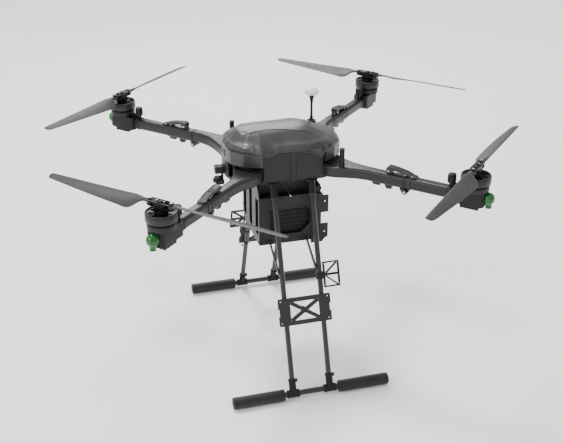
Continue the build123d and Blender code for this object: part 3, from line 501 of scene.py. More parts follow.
# ---- CAD nodes that stay -------------------------------------------------------------------------
def shading_group():
    """Geometry nodes that join a CAD mesh's split points and shade it smooth up to an angle."""
    group = bpy.data.node_groups.new("join_and_shade", "GeometryNodeTree")
    for direction in ("INPUT", "OUTPUT"):
        group.interface.new_socket("Geometry", in_out=direction, socket_type="NodeSocketGeometry")
    new = group.nodes.new
    start, end = new("NodeGroupInput"), new("NodeGroupOutput")
    joined, cleared = new("GeometryNodeMergeByDistance"), new("GeometryNodeRemoveAttribute")
    soft, sharp = new("GeometryNodeSetShadeSmooth"), new("GeometryNodeSetShadeSmooth")
    angle, steep = new("GeometryNodeInputMeshEdgeAngle"), new("FunctionNodeCompare")
    joined.inputs["Distance"].default_value = 0.02 * MM
    cleared.inputs["Name"].default_value = "custom_normal"
    sharp.domain = "EDGE"
    sharp.inputs["Shade Smooth"].default_value = False
    steep.operation = "GREATER_THAN"
    steep.inputs[1].default_value = radians(38)
    link = group.links.new
    link(start.outputs[0], joined.inputs[0])
    link(joined.outputs[0], cleared.inputs[0])
    link(cleared.outputs[0], soft.inputs[0])
    link(soft.outputs[0], sharp.inputs[0])
    link(angle.outputs["Unsigned Angle"], steep.inputs[0])
    link(steep.outputs[0], sharp.inputs["Selection"])
    link(sharp.outputs[0], end.inputs[0])
    return group


SHADING = shading_group()


def dress(node, material, bevel=0.5, join=True):
    """Gives a CAD node its material, joined smooth faces and softened edges."""
    obj = frame["nodes"][node]
    if obj.material_slots:
        for used in obj.material_slots:
            used.material = material
    else:
        obj.data.materials.append(material)
    if join:
        shading = obj.modifiers.new("shading", "NODES")
        shading.node_group = SHADING
    if bevel:
        add_bevel(obj, bevel)


for arm in ARMS:
    dress(f"arm_root_{arm.name}", MOULDING, 0.6)
    dress(f"arm_tube_{arm.name}", ARM_SATIN, 0, False)
    dress(f"latch_lever_{arm.name}", LEVER, 0.5)
    dress(f"motor_mount_{arm.name}", ALLOY, 0.5)
    dress(f"motor_bell_{arm.name}", ALLOY, 0.4)
    dress(f"prop_clamp_{arm.name}", CLAMP, 0.4)
    dress(f"led_lens_{arm.name}", LENS, 0.4)

for node_name, finish, edge in (
        ("hub_tray", SHELL, 0.8), ("core_plates", WEAVE["x"], 0.2), ("flight_controller", BLACK, 0.5),
        ("fold_pins", STEEL, 0.3), ("gnss_mast", BLACK, 0.4), ("leg_sockets", ALLOY, 0.6),
        ("leg_tubes", WEAVE["y"], 0.2), ("foot_tees", BLACK, 0.6), ("foot_tubes", WEAVE["x"], 0.2),
        ("brace_plates", PLATE, 0.5), ("knee_struts", SOFT_PLATE, 0.4), ("bay_frame", BAY, 0.5),
        ("bay_front_panel", PLATE, 0.5), ("accessory_plate", BAY, 0.4), ("camera_bracket", BLACK, 0.4),
        ("sensor_brackets", BLACK, 0.4), ("camera_head", BLACK, 0.3), ("battery", CASE, 1.0),
        ("power_connector", BLACK, 0.5), ("stub_antennas", BLACK, 1.5), ("gnss_dome", PALE, 0.8),
        ("foot_sleeves", FOAM, 1.5), ("canopy", CANOPY, 0.8)):
    dress(node_name, finish, edge)


# ---- propeller blades ----------------------------------------------------------------------------
# Each station of a blade: radius, leading and trailing edge from the blade's axis, pitch in degrees,
# and thickness.
BLADE_STATIONS = [
    (33, 8.6, 8.6, 0, 8.2), (50, 7.6, 7.8, 3, 8.0), (60, 9.0, 12.5, 14, 7.2), (74, 11.6, 31, 24, 6.0),
    (90, 12, 39, 26, 5.2), (120, 11.5, 38, 23, 4.6), (180, 11, 34.5, 19, 3.9), (250, 10.5, 28.5, 16, 3.3),
    (320, 10, 21, 13.5, 2.8), (362, 9.5, 16.4, 12, 2.4), (374, 8.9, 13.2, 12, 2.2),
    (380.6, 7.6, 7.4, 12, 1.7),
]


def between(stations, x):
    """Catmull-Rom values at x through stations whose first entry is x."""
    last = len(stations) - 2
    i = min(max(k for k in range(last + 1) if stations[k][0] <= x or k == 0), last)
    a, b, c, d = (stations[min(max(k, 0), last + 1)] for k in (i - 1, i, i + 1, i + 2))
    t = (x - b[0]) / (c[0] - b[0])
    values = []
    for p, q, r, s in zip(a[1:], b[1:], c[1:], d[1:]):
        rise_in = (r - p) / max(c[0] - a[0], 1e-6) * (c[0] - b[0])
        rise_out = (s - q) / max(d[0] - b[0], 1e-6) * (c[0] - b[0])
        values.append(q * (2 * t ** 3 - 3 * t ** 2 + 1) + rise_in * (t ** 3 - 2 * t ** 2 + t)
                      + r * (3 * t ** 2 - 2 * t ** 3) + rise_out * (t ** 3 - t ** 2))
    return values


def aerofoil(lead, trail, pitch, thickness, points=15):
    """Section points in (chordwise, up), from the trailing edge over the top and back underneath."""
    chord = lead + trail
    turn = radians(pitch)
    upper, lower = [], []
    for i in range(points):
        share = 0.5 * (1 - cos(pi * i / (points - 1)))
        shape = (1.48 * share ** 0.5 - 0.63 * share - 1.758 * share ** 2 + 1.4215 * share ** 3
                 - 0.5 * share ** 4)
        half = max(shape, 0.0) * thickness * 0.98 + 0.28 * share
        camber = 0.28 * thickness * 4 * share * (1 - share)
        upper.append((share * chord - lead, camber + half))
        lower.append((share * chord - lead, camber - half * 0.9))
    outline = upper[::-1] + lower[1:]
    return [(y * cos(turn) + z * sin(turn), z * cos(turn) - y * sin(turn)) for y, z in outline]


def blade(arm, letter, spin):
    along = arm.left * spin
    at = facing(arm.at(arm.motor, 0, arm.prop_z), along, (0, 0, 1))
    bm = bmesh.new()
    first, last = BLADE_STATIONS[0][0], BLADE_STATIONS[-1][0]
    rings = []
    count = 72
    for i in range(count + 1):
        share = i / count
        radius = first + (last - first) * (share if share < 0.5 else 0.5 + 0.5 * sin(pi * (share - 0.5)))
        rings.append([(radius, y, z) for y, z in aerofoil(*between(BLADE_STATIONS, radius))])
    skin(bm, rings, at)
    pin = at @ Matrix.Translation((arm.pin_reach, 0, 0))
    turned(bm, [(9.5, -4.2), (9.5, 4.2), (2.6, 4.2), (2.6, -4.2)], pin, 40, closed=True)
    made = piece(f"blade_{letter}_{arm.name}_skin", bm, BLADE, f"blade_{letter}_{arm.name}", 0.3,
                 50)
    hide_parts(f"blade_{letter}_{arm.name}")


for arm in ARMS:
    blade(arm, "a", 1)
    blade(arm, "b", -1)


# ---- hub -----------------------------------------------------------------------------------------
HUB_HALF_LENGTH = 192.0
HUB_HALF_WIDTH = 124.0
HUB_TAIL = 178.0
HUB_CORNERS = [(98, HUB_HALF_WIDTH), (150, 106), (183, 66), (HUB_HALF_LENGTH, 24)]
TAIL_CORNERS = [(98, HUB_HALF_WIDTH), (140, 106), (170, 66), (HUB_TAIL, 24)]
HUB_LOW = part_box("hub_tray")[0].z / MM
MAST = standing(113, 53, 0)


def along_line(points, x):
    """The height of a broken line at x, level beyond its ends."""
    if x <= points[0][0]:
        return points[0][1]
    for (x0, y0), (x1, y1) in zip(points, points[1:]):
        if x <= x1:
            return y0 + (y1 - y0) * (x - x0) / (x1 - x0)
    return points[-1][1]


def hub_corners(inset, lean=0.0):
    """The nose's and the tail's corners on the +y side, drawn in by the inset and shifted to the nose."""
    length_share = 1 - inset / HUB_HALF_LENGTH
    width_share = 1 - inset / HUB_HALF_WIDTH
    nose = [(-x * length_share - lean, y * width_share) for x, y in HUB_CORNERS]
    tail = [(x * length_share - lean, y * width_share) for x, y in TAIL_CORNERS]
    return nose, tail


def hub_ring(inset, corner=18.0, steps=7, lean=0.0):
    """The hub's rounded, stretched octagon, drawn in by the inset."""
    nose, tail = hub_corners(inset, lean)
    points = tail + [(x, -y) for x, y in tail[::-1]] + [(x, -y) for x, y in nose] + nose[::-1]
    return rounded(points, corner * (1 - inset / HUB_HALF_WIDTH), steps)


def hub_edge_y(x, inset=0.0, lean=0.0):
    """How far out the hub's side stands at a place along the craft."""
    nose, tail = hub_corners(inset, lean)
    return along_line(nose[::-1] + tail, x)


# The canopy's skin from its rim to its crown: height, inset from the hub's outline, and corner rounding.
CANOPY_SKIN = [
    (717, 2.6, 18), (746.6, 3.0, 18), (747.4, 3.6, 18), (748.2, 6.2, 19), (749.4, 6.4, 19), (750.6, 5.2, 20),
    (753, 6.6, 22), (757, 10.6, 25), (760.6, 15.4, 28), (763.2, 20.4, 31), (764.0, 23.4, 33), (765.4, 28, 36),
    (768.6, 35, 39), (773.6, 43.5, 42), (779, 52, 44), (784.2, 60.5, 46), (788.0, 67.2, 47), (788.9, 70.2, 47),
    (790.4, 75.4, 46), (792.2, 84, 42), (793.3, 94, 34), (793.8, 105, 24), (794.0, 117, 10),
]
# How far the skin is shifted to the nose at a height.
CANOPY_LEAN = [(747.5, 0), (760, 6), (768, 12), (784, 22), (791, 26), (794, 28)]
SKIN_HEIGHT = [(inset, z) for z, inset, corner in CANOPY_SKIN[6:]]
# The edge where the canopy's apron meets each side panel, as (x, z), and the crease above it, as (x, inset).
PANEL_EDGE = [
    (-130, 749), (-112, 748), (-97, 747.4), (-88, 740), (-79, 732.6), (-66, 738.4), (-47, 747.2), (0, 746.4),
    (20, 743.8), (40, 740.6), (58, 737), (72, 728), (86, 719.6), (92, 718), (100, 726), (108, 742), (116, 748),
]
SHOULDER = [
    (-130, 8), (-120, 21), (-110, 29), (-90, 33), (-66, 30), (-39, 19), (-15, 14), (9, 10), (36, 8), (57, 9),
    (70, 14), (81, 17), (92, 17), (104, 10), (116, 7),
]
UPPER_CREASE = [
    (-146, 48), (-138, 57), (-117, 72), (-96, 82), (-63, 87), (-33, 84.5), (-3, 78.5), (27, 71), (51, 63.5),
    (75, 55), (93, 45), (102, 38),
]


def on_skin(x, inset):
    """The canopy's skin at a place along the craft: how far out, and how high."""
    z = along_line(SKIN_HEIGHT, inset)
    return hub_edge_y(x, inset, along_line(CANOPY_LEAN, z)), z


def apron_line(x):
    """The apron's lower and upper edges at a place along the craft, as (y, z)."""
    return (hub_edge_y(x) + 1.7, along_line(PANEL_EDGE, x)), on_skin(x, along_line(SHOULDER, x))


def fine_ring(inset, corner, lean, steps=9):
    """The hub's outline with points added along its straight sides."""
    coarse = hub_ring(inset, corner, steps, lean)
    fine = []
    for i, (x, y) in enumerate(coarse):
        fine.append((x, y))
        if i % (steps + 1) == steps:
            x1, y1 = coarse[(i + 1) % len(coarse)]
            count = 60 if i // (steps + 1) in (7, 15) else 6
            fine += [(x + (x1 - x) * k / count, y + (y1 - y) * k / count) for k in range(1, count)]
    return fine


def canopy():
    """The canopy's skin, dented behind its aprons, and the caps over the nose and the tail."""
    bm = bmesh.new()
    rings = []
    for z, inset, corner in CANOPY_SKIN:
        ring = []
        for x, y in fine_ring(inset, corner, along_line(CANOPY_LEAN, z)):
            level = z
            if z > 752 and -130 < x < 116:
                # dented behind the apron's flat faces
                (low_y, low_z), (top_y, top_z) = apron_line(x)
                if top_y < abs(y) < low_y:
                    dent = top_z + (low_z - top_z) * (abs(y) - top_y) / (low_y - top_y) - 0.8
                    level = max(min(z, dent), 749)
            ring.append((x, y, level))
        rings.append(ring)
    skin(bm, rings, standing(0, 0, 0))
    made = piece("canopy_skin", bm, CANOPY, "root", 0.5, 17)
    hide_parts("canopy")

    # end caps, each with a dark gap at its sides and a louvred vent
    bm = bmesh.new()
    seams = bmesh.new()
    for end, face in ((-1, HUB_HALF_LENGTH), (1, HUB_TAIL)):
        at = facing((0, 0, 0), (end, 0, 0), (0, 0, 1))
        cap = [(face - 8, 49), (face - 5.7, 49.3), (face - 0.8, 24), (face - 0.1, 18)]
        cap += [(x, -y) for x, y in cap[::-1]]
        plate(bm, cap[::-1], 700.8, 748.6, at)
        for side in (-1, 1):
            seam = [(face - 12, side * 50.2), (face - 6.6, side * 50.2), (face - 6.6, side * 51.8),
                    (face - 12, side * 51.8)]
            plate(seams, seam, 700, 747.5, at)
        plate(seams, rounded_box(1.0, 52, 0.4, face - 0.4, 0), 712, 736, at)
        louvre = rounded([(face - 1.4, -25), (face - 0.1, -25), (face - 0.1, 25), (face - 1.4, 25)], 0.3, 2)
        for level in (714.5, 721.5, 728.5):
            plate(bm, louvre, level, level + 4.4, at)
    piece("nose_and_tail_caps", bm, CANOPY, "root", 1.2)
    piece("cap_seams", seams, BLACK, "root", 0)


def outline_strip(bm, start_x, stop_y, low, high, sx, sy, proud=1.1, inner=0.4):
    """A skin over one corner of the hub, from a place along its side round to the end cap."""
    outer = [(abs(x), y) for x, y in hub_ring(-proud) if x * sx >= start_x and y >= stop_y]
    outer.sort(key=lambda p: atan2(p[1], p[0]))
    outer = [(outer[0][0] + 0.4, stop_y)] + outer + [(start_x, HUB_HALF_WIDTH + proud)]
    length_share = 1 - (proud + inner) / HUB_HALF_LENGTH
    width_share = 1 - (proud + inner) / HUB_HALF_WIDTH
    back = [(x * length_share, y * width_share) for x, y in outer]
    plate(bm, [(sx * x, sy * y) for x, y in outer + back[::-1]], low, high, standing(0, 0, 0))


def sheet(bm, rows):
    """Quads between rows of points given in millimetres."""
    loops = [[bm.verts.new(Vector(point) * MM) for point in row] for row in rows]
    for low, high in zip(loops, loops[1:]):
        for a, b, c, d in zip(low, low[1:], high[1:], high):
            bm.faces.new((a, b, c, d))


def canopy_apron():
    """Flat faces that carry the canopy's shoulder down over each side panel, and a crease line higher up."""
    places = [-130 + 2 * k for k in range(124)]
    for side, name in ((-1, "near"), (1, "far")):
        bm = bmesh.new()
        rows = []
        for share in (-0.12, 0.0, 0.0, 0.04, 0.25, 0.5, 0.75, 0.96, 1.0, 1.0, 1.03):
            row = []
            for x in places:
                (low_y, low_z), (top_y, top_z) = apron_line(x)
                part = min(max(share, 0.0), 1.0)
                y, z = low_y + (top_y - low_y) * part, low_z + (top_z - low_z) * part
                y, z = y + 0.5 * sin(pi * part), z + 1.0 * sin(pi * part) + 0.5
                if share < 0:
                    y -= 6.0
                elif share > 1:
                    z -= 3.0
                row.append((x, side * y, z))
            rows.append(row)
        sheet(bm, rows)
        piece(f"canopy_apron_{name}", bm, CANOPY, "root", 0, 30)
        bm = bmesh.new()
        # across the ridge: steep below, easing out above
        rows = []
        for across, rise in ((-4.0, -0.8), (-1.6, 1.0), (-0.6, 1.5), (0.8, 1.5), (5.0, 1.0), (10.0, -0.4)):
            row = []
            for k in range(125):
                x = -146 + 2 * k
                fade = min(1.0, (k + 0.01) / 14, (124.01 - k) / 22)
                y, z = on_skin(x, along_line(UPPER_CREASE, x) + across * fade)
                row.append((x, side * y, z + (rise + 0.5) * fade - 0.5))
            rows.append(row)
        sheet(bm, rows)
        piece(f"canopy_crease_{name}", bm, CANOPY, "root", 0, 30)


def hub_details():
    """Corner cowls, bottom lip, side panels, and what hangs under the hub."""
    cowls = bmesh.new()
    for sx in (-1, 1):
        for sy in (-1, 1):
            outline_strip(cowls, 94 if sx < 0 else 108, 51.5, 704.5, 746.6, sx, sy)
            # closing wall beside the end cap, down to the hub's floor
            inner_x, outer_x = (173.0, 170.0) if sx < 0 else (186.4, 183.0)
            wall = [(inner_x, 48), (outer_x, 64), (outer_x - 3, 64), (inner_x - 3, 48)]
            plate(cowls, [(sx * x, sy * y) for x, y in wall], 658, 704.5, standing(0, 0, 0))
    piece("corner_cowls", cowls, CANOPY, "root", 0.5)

    # thin lip round the hub's bottom, screwed bosses over it, and screws in the floor
    lip = bmesh.new()
    ring, inner = hub_ring(-1.2), hub_ring(3)
    plate(lip, ring, HUB_LOW - 0.2, HUB_LOW + 2.6, standing(0, 0, 0), [inner])
    piece("hub_lip", lip, SHELL, "root", 0.7)
    screws, bosses = bmesh.new(), bmesh.new()
    for side in (-1, 1):
        for x in (-84, -42, -12, 30, 72):
            at = facing((x, side * (HUB_HALF_WIDTH + 1.0), HUB_LOW + 5.5), (1, 0, 0), (0, side, 0))
            turned(bosses, [(4.6, -1.5), (4.6, 0.4), (3.9, 0.9), (0.01, 0.9)], at, 24)
            cap_screw(screws, at @ Matrix.Translation((0, 0, 0.8)), 2.2, 1.6)
    floor_screws = ((-150, 60), (-150, -60), (150, 60), (150, -60),
                    (-100, 96), (100, 96), (-100, -96), (100, -96))
    for x, y in floor_screws:
        cap_screw(screws, facing((x, y, HUB_LOW), (1, 0, 0), (0, 0, -1)), 3, 2.6)
    piece("hub_bosses", bosses, SHELL, "root", 0.3)
    piece("hub_screws", screws, DARK_STEEL, "root", 0.15)

    # side panels: raised face with softened ends and the tapered rib standing on it
    for side in (-1, 1):
        bm = bmesh.new()
        at = facing((0, side * HUB_HALF_WIDTH, 0), (1, 0, 0), (0, -1, 0))
        face_low, face_high = (0.0, 1.3) if side < 0 else (-1.3, 0.0)
        left = [(-92, 655), (-92, 730), (-79, 731.2), (-58, 741), (-47, 745.4), (-12, 745.4), (-5, 655)]
        right = [(11, 655), (18, 743), (40, 739), (58, 735.6), (72, 726.6), (86, 718.2), (98, 716),
                 (98, 655)]
        for outline in (left, right):
            plate(bm, rounded(outline, 3, 3), face_low, face_high, at)
        piece(f"side_panel_{'near' if side < 0 else 'far'}", bm, SHELL, "root", 0.7)

    grommet = bmesh.new()
    turned(grommet, [(10.5, 764), (14.5, 772), (15.5, 775.5), (12.5, 777.5), (9.2, 777), (9.2, 764)], MAST,
           40)
    piece("mast_grommet", grommet, RUBBER, "root", 0.4)

    # under the hub: power board, its connectors and cooling fins
    board = bmesh.new()
    slab(board, (-86, 84), (-52, 52), (640, 645), standing(0, 0, 0))
    slab(board, (-70, 66), (-44, 44), (606, 640), standing(0, 0, 0))
    for k in range(12):
        x = -64 + k * 11.2
        slab(board, (x, x + 4), (-47, 47), (601, 640), standing(0, 0, 0))
    piece("power_board", board, BLACK, "root", 0.6)
    lugs = bmesh.new()
    for x, y, radius, depth in ((-34, -112, 4.0, 14), (-14, -114, 3.4, 9), (-34, 112, 4.0, 14),
                                (-14, 114, 3.4, 9)):
        turned(lugs, [(radius, HUB_LOW - depth), (radius, HUB_LOW - depth + 3),
                      (radius * 0.8, HUB_LOW - depth + 3.4),
                      (radius * 0.8, HUB_LOW)], standing(x, y, 0), 24)
    piece("hub_lugs", lugs, ALLOY, "root", 0.5)
    # receiver's stub antenna, hung under the hub's edge at a slant
    stick, tip = bmesh.new(), bmesh.new()
    slant = facing((-26, -113, HUB_LOW - 6), (0, 1, 0), (0.42, -0.08, -0.9))
    turned(stick, [(2.2, -6), (2.2, 8), (1.4, 10), (1.4, 30), (2.4, 32), (2.4, 47), (1.6, 48)], slant, 20)
    turned(tip, [(1.6, 48), (2.1, 49), (2.1, 53), (1.3, 54.5), (0.01, 54.8)], slant, 20)
    piece("receiver_antenna", stick, BLACK, "root", 0.2)
    piece("receiver_antenna_tip", tip, PALE, "root", 0.2)


canopy()
canopy_apron()
hub_details()


# ---- arms ----------------------------------------------------------------------------------------
ARM_Z = 689.0
SLEEVE_HALF = 19.0
FOLD_PIN_Z = 660
LENS_Z = 692.5
KNOB_REACH = 569
MOUNT_HALF = 27.0


def arm_details(arm):
    """Root pad, seam gasket, collars, joint block screws, latch keeper, and the lever's trim."""
    ride = f"arm_{arm.name}"
    # black pads on top of the root where it enters the hub
    bm = bmesh.new()
    pad = [(150, -64), (168, -70), (186, -62), (206, -34), (212, 4), (200, 14), (152, 12)]
    plate(bm, [(r - 165, -arm.end_side * l) for r, l in pad], 694.0, 696.4, arm.level(165, 0, 0))
    inner = [(151, -56), (166, -60), (174, -52), (176, -6), (152, -2)]
    plate(bm, [(r - 165, -arm.end_side * l) for r, l in inner], 696.0, 699.6, arm.level(165, 0, 0))
    piece(f"root_pad_{arm.name}", bm, BLACK, "root", 0.8)

    # gasket at the seam and collars at the joint block's ends
    bm = bmesh.new()
    outer, inner = rounded_box(39.4, 39.4, 12.6), rounded_box(35.4, 35.4, 10.6)
    plate(bm, outer, -4.2, -0.5, arm.along(arm.seam, 0, ARM_Z), [inner])
    piece(f"seam_gasket_{arm.name}", bm, RUBBER, "root", 0.5)
    bm = bmesh.new()
    plate(bm, rounded_box(39.0, 39.0, 12.4), 0.6, 3.4, arm.along(arm.seam, 0, ARM_Z), [inner])
    sleeve_end = arm.seam + 18.3 if arm.near else 440.0
    plate(bm, rounded_box(39.2, 39.2, 12.5), -5, 0.6, arm.along(sleeve_end, 0, ARM_Z),
          [rounded_box(35.6, 35.6, 10.7)])
    piece(f"sleeve_collars_{arm.name}", bm, MOULDING, ride, 0.6)

    # screws along the joint block, on both sides
    block_body = "root" if arm.near else ride
    block = (326, 342, 398, 414) if arm.near else (352, 398, 414, 430)
    bm = bmesh.new()
    for reach in block:
        for side in (-1, 1):
            cap_screw(bm, arm.side(reach, side * (SLEEVE_HALF - 0.1), ARM_Z, side), 2.3, 1.3)
    piece(f"block_screws_{arm.name}", bm, DARK_STEEL, block_body, 0.12)

    # keeper that the latch lever's nose hooks over
    bm = bmesh.new()
    plate(bm, [(452, 706.4), (453, 709.2), (465, 709.2), (468, 706.4)], -8, 8, arm.profile())
    turned(bm, [(2.0, -9.5), (2.0, 9.5)], arm.side(464, 0, 708.6), 20)
    piece(f"latch_keeper_{arm.name}", bm, LEVER, ride, 0.5)

    # bright rivets at both ends of the lever, and its edge ribs
    bm = bmesh.new()
    for side in (-1, 1):
        rivet(bm, arm.side(450, side * 10.9, 712.2, side), 1.9, 1.2)
        rivet(bm, arm.side(427.5, side * 10.9, 713.4, side), 1.7, 1.1)
    piece(f"lever_rivets_{arm.name}", bm, STEEL, f"latch_{arm.name}", 0.1)
    bm = bmesh.new()
    for side in (-1, 1):
        turned(bm, [(3.3, 0), (3.3, 0.7), (2.5, 1.5), (0.01, 1.7)],
               arm.side(arm.pivot, side * 11.7, arm.pivot_z, side), 28)
    piece(f"pivot_heads_{arm.name}", bm, STEEL, arm.latch_parent, 0.1)
    bm = bmesh.new()
    for side in (-1, 1):
        rib = [(370, 728.7), (392, 727.3), (428, 721.3), (446, 715.4), (446, 716.9), (428, 722.9),
               (392, 728.9), (371, 730.2)]
        plate(bm, rib, side * 9.4 - 1.4, side * 9.4 + 1.4, arm.profile())
    for reach, height in ((398, 727.2), (410, 725.2)):
        slab(bm, (reach - 2, reach + 2), (height - 1.5, height + 0.9), (-5.5, 5.5), arm.profile())
    piece(f"lever_ribs_{arm.name}", bm, LEVER, f"latch_{arm.name}", 0.4)


def pin_ends():
    """Domed heads on the fold pins."""
    bm = bmesh.new()
    for arm in ARMS:
        for side in (-1, 1):
            turned(bm, [(4.4, 0), (4.4, 1.2), (3.6, 2.2), (0.01, 2.5)],
                   arm.side(arm.seam, side * 16.2, FOLD_PIN_Z, side), 28)
    piece("fold_pin_heads", bm, STEEL, "root", 0.1)


# ---- motors --------------------------------------------------------------------------------------
def motor_details(arm):
    """The motor's can, windings and base, and its mount's flange, screws, knob, heat sink and lamp."""
    ride, rotor = f"arm_{arm.name}", f"rotor_{arm.name}"
    base = arm.level(arm.motor, 0, 0)

    # bell: plain can with a black line round it, a rolled rim and a dished black top with cooling windows
    bm = bmesh.new()
    can = [(43.6, 735.2), (43.95, 735.7), (43.95, 752.0), (43.1, 752.5), (43.1, 754.3), (43.95, 754.8),
           (43.9, 757.4), (42.4, 759.7), (40.0, 760.0), (39.2, 759.3), (38.6, 757.0), (41.2, 754.4),
           (41.2, 735.2)]
    turned(bm, can, base, 128, closed=True)
    made = piece(f"bell_can_{arm.name}", bm, MOTOR_GREY, rotor, 0.25)
    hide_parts(f"motor_bell_{arm.name}")
    bm = bmesh.new()
    turns = [Matrix.Rotation(radians(45 * k), 2) for k in range(8)]
    windows = [[tuple(turn @ Vector(point)) for point in rounded_box(18, 9, 4, 26, 0)] for turn in turns]
    plate(bm, circle(39.6, 96), 754.4, 756.8, base, windows)
    turned(bm, [(13.5, 756.6), (13.5, 758.6), (12.6, 760.0), (0.01, 760.0)], base, 64)
    turned(bm, [(42.8, 752.4), (43.3, 754.4)], base, 96, caps=False)
    piece(f"bell_crown_{arm.name}", bm, CLAMP, rotor, 0.3)

    # windings between the stator's teeth, seen in the gap under the skirt
    bm = bmesh.new()
    for k in range(24):
        turn = base @ Matrix.Rotation(2 * pi * (k + 0.5) / 24, 4, "Z")
        rings = []
        for reach in (24, 26, 30, 34, 37, 39.2):
            wide = 1.6 + (reach - 24) * 0.13
            swell = 0.7 if reach in (24, 39.2) else 1.0
            rings.append([(reach, wide * swell * cos(a), 736.0 + 1.7 * swell * sin(a)) for a in
                          (2 * pi * i / 14 for i in range(14))])
        skin(bm, rings, turn)
    piece(f"windings_{arm.name}", bm, COPPER, ride, 0)

    # mount's round flange: chamfered rim, and the black base plate that carries the stator
    bm = bmesh.new()
    turned(bm, [(38.6, 712.3), (40.8, 714.2), (40.8, 726.8), (39.6, 729.3), (36.4, 729.6)], base, 96,
           caps=False)
    piece(f"mount_flange_{arm.name}", bm, MOTOR_GREY, ride, 0.3)
    bm = bmesh.new()
    turned(bm, [(36.2, 728.8), (36.2, 731.0), (34.8, 732.2), (24, 732.8), (20.4, 734.2), (20.4, 737.2)],
           base, 96, caps=False)
    piece(f"motor_base_{arm.name}", bm, CLAMP, ride, 0.3)

    # mount block: clamp screws and split lines in its sides
    bm, grooves = bmesh.new(), bmesh.new()
    for side in (-1, 1):
        for reach in (590, 664):
            for height in (702, 678):
                cap_screw(bm, arm.side(reach, side * (MOUNT_HALF - 0.1), height, side), 2.2, 1.0)
        depth = sorted((side * (MOUNT_HALF - 0.4), side * (MOUNT_HALF + 0.15)))
        slab(grooves, (581, 673), (689.2, 690.2), depth, arm.profile())
        for reach in (606, 646):
            slab(grooves, (reach, reach + 1.0), (671, 689), depth, arm.profile())
    piece(f"mount_screws_{arm.name}", bm, DARK_STEEL, ride, 0.15)
    piece(f"mount_split_{arm.name}", grooves, RUBBER, ride, 0)

    # knob: ridged grip, domed cap, and the strap that holds it to the arm
    bm = bmesh.new()
    knob = arm.level(KNOB_REACH, 0, 0)
    for k in range(20):
        slab(bm, (11.6, 12.7), (-0.9, 0.9), (723, 742), knob @ Matrix.Rotation(2 * pi * k / 20, 4, "Z"))
    turned(bm, [(12.2, 744.6), (11.6, 746.2), (8.6, 747.6), (0.01, 748.0)], knob, 48)
    plate(bm, rounded_box(38.4, 38.4, 12.2), -9, 8.6, arm.along(KNOB_REACH, 0, ARM_Z),
          [rounded_box(35.8, 35.8, 10.8)])
    piece(f"knob_ridges_{arm.name}", bm, BLACK, ride, 0.3)

    # heat sink: rows of pins of two lengths under a plate
    bm = bmesh.new()
    for k in range(6):
        y = -18 + 7.2 * k
        for n in range(7):
            x = 608.6 + n * 8.1
            slab(bm, (x - 2.6, x + 2.6), (y - 2.1, y + 2.1), (655.6 + 2.2 * (n % 2), 665.4),
                 arm.level(0, 0, 0))
    slab(bm, (603, 663), (-22.4, 22.4), (665.2, 667.0), arm.level(0, 0, 0))
    piece(f"sink_pins_{arm.name}", bm, BLACK, ride, 0.4)

    # lamp: black bezel, reflector facets seen as ridges, and a cap under the nub
    bm = bmesh.new()
    turned(bm, [(19.6, 0), (19.6, 2.6), (18.8, 3.4), (17.4, 3.4), (17.4, 0)], arm.along(675.6, 0, LENS_Z),
           64, closed=True)
    turned(bm, [(8.9, 664.6), (8.9, 667.5), (8.5, 668)], arm.level(685, 0, 0), 40, caps=False)
    piece(f"lamp_bezel_{arm.name}", bm, BLACK, ride, 0.3)
    bm = bmesh.new()
    for k in range(5):
        turn = arm.along(684, 0, LENS_Z) @ Matrix.Rotation(radians(36 + 72 * k), 4, "Z")
        turned(bm, [(5.0, 0), (5.0, 0.4), (4.0, 1.3), (2.2, 0.9), (0.01, 0.6)],
               turn @ Matrix.Translation((11.0, 0, 8.4)) @ Matrix.Rotation(radians(36), 4, "Y"), 24)
    turned(bm, [(5.6, 15.2), (4.8, 16.0), (2.6, 15.6), (0.01, 15.4)], arm.along(684, 0, LENS_Z), 28)
    piece(f"lamp_facets_{arm.name}", bm, LENS_DARK, ride, 0.1)


def clamp_details(arm):
    """Bright pin heads, washers, and the centre bolts of the propeller clamp."""
    rotor = f"rotor_{arm.name}"
    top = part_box(f"prop_clamp_{arm.name}")[1].z / MM
    bright, dark = bmesh.new(), bmesh.new()
    for side in (-1, 1):
        at = arm.level(arm.motor, side * arm.pin_reach, top)
        turned(dark, [(6.6, -0.2), (6.6, 0.7), (6.0, 1.0), (0.01, 1.0)], at, 36)
        cap_screw(bright, at @ Matrix.Translation((0, 0, 0.9)), 3.9, 2.6)
        under = facing(arm.at(arm.motor, side * arm.pin_reach, top - 15), arm.out, (0, 0, -1))
        nut(bright, under, 3.6, 2.6)
    for side in (-1, 1):
        cap_screw(bright, arm.level(arm.motor, side * 12, top), 2.3, 1.8)
    turned(dark, [(9, -0.2), (9, 1.6), (7.6, 2.6), (4.4, 2.6), (4.0, 1.4), (0.01, 1.4)],
           arm.level(arm.motor, 0, top), 48)
    piece(f"clamp_bolts_{arm.name}", bright, STEEL, rotor, 0.15)
    piece(f"clamp_washers_{arm.name}", dark, CLAMP, rotor, 0.25)


for arm in ARMS:
    arm_details(arm)
    motor_details(arm)
    clamp_details(arm)
pin_ends()


# ---- landing gear --------------------------------------------------------------------------------
FOOT_LOW, FOOT_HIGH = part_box("foot_tubes")
FOOT_Y = (FOOT_HIGH.y - (FOOT_HIGH.z - FOOT_LOW.z) / 2) / MM
FOOT_Z = (FOOT_LOW.z + FOOT_HIGH.z) / 2 / MM
LEG_TOP = Vector((0, 120.6, 644))
LEG_X = 61.0


def leg_place(x, side, along):
    """Square to a leg, at a distance up along it: local x along the craft, z up the leg."""
    foot = Vector((x, side * FOOT_Y, FOOT_Z))
    up = Vector((0, side * (LEG_TOP.y - FOOT_Y), LEG_TOP.z - FOOT_Z)).normalized()
    return facing(foot + up * along, (1, 0, 0), up)


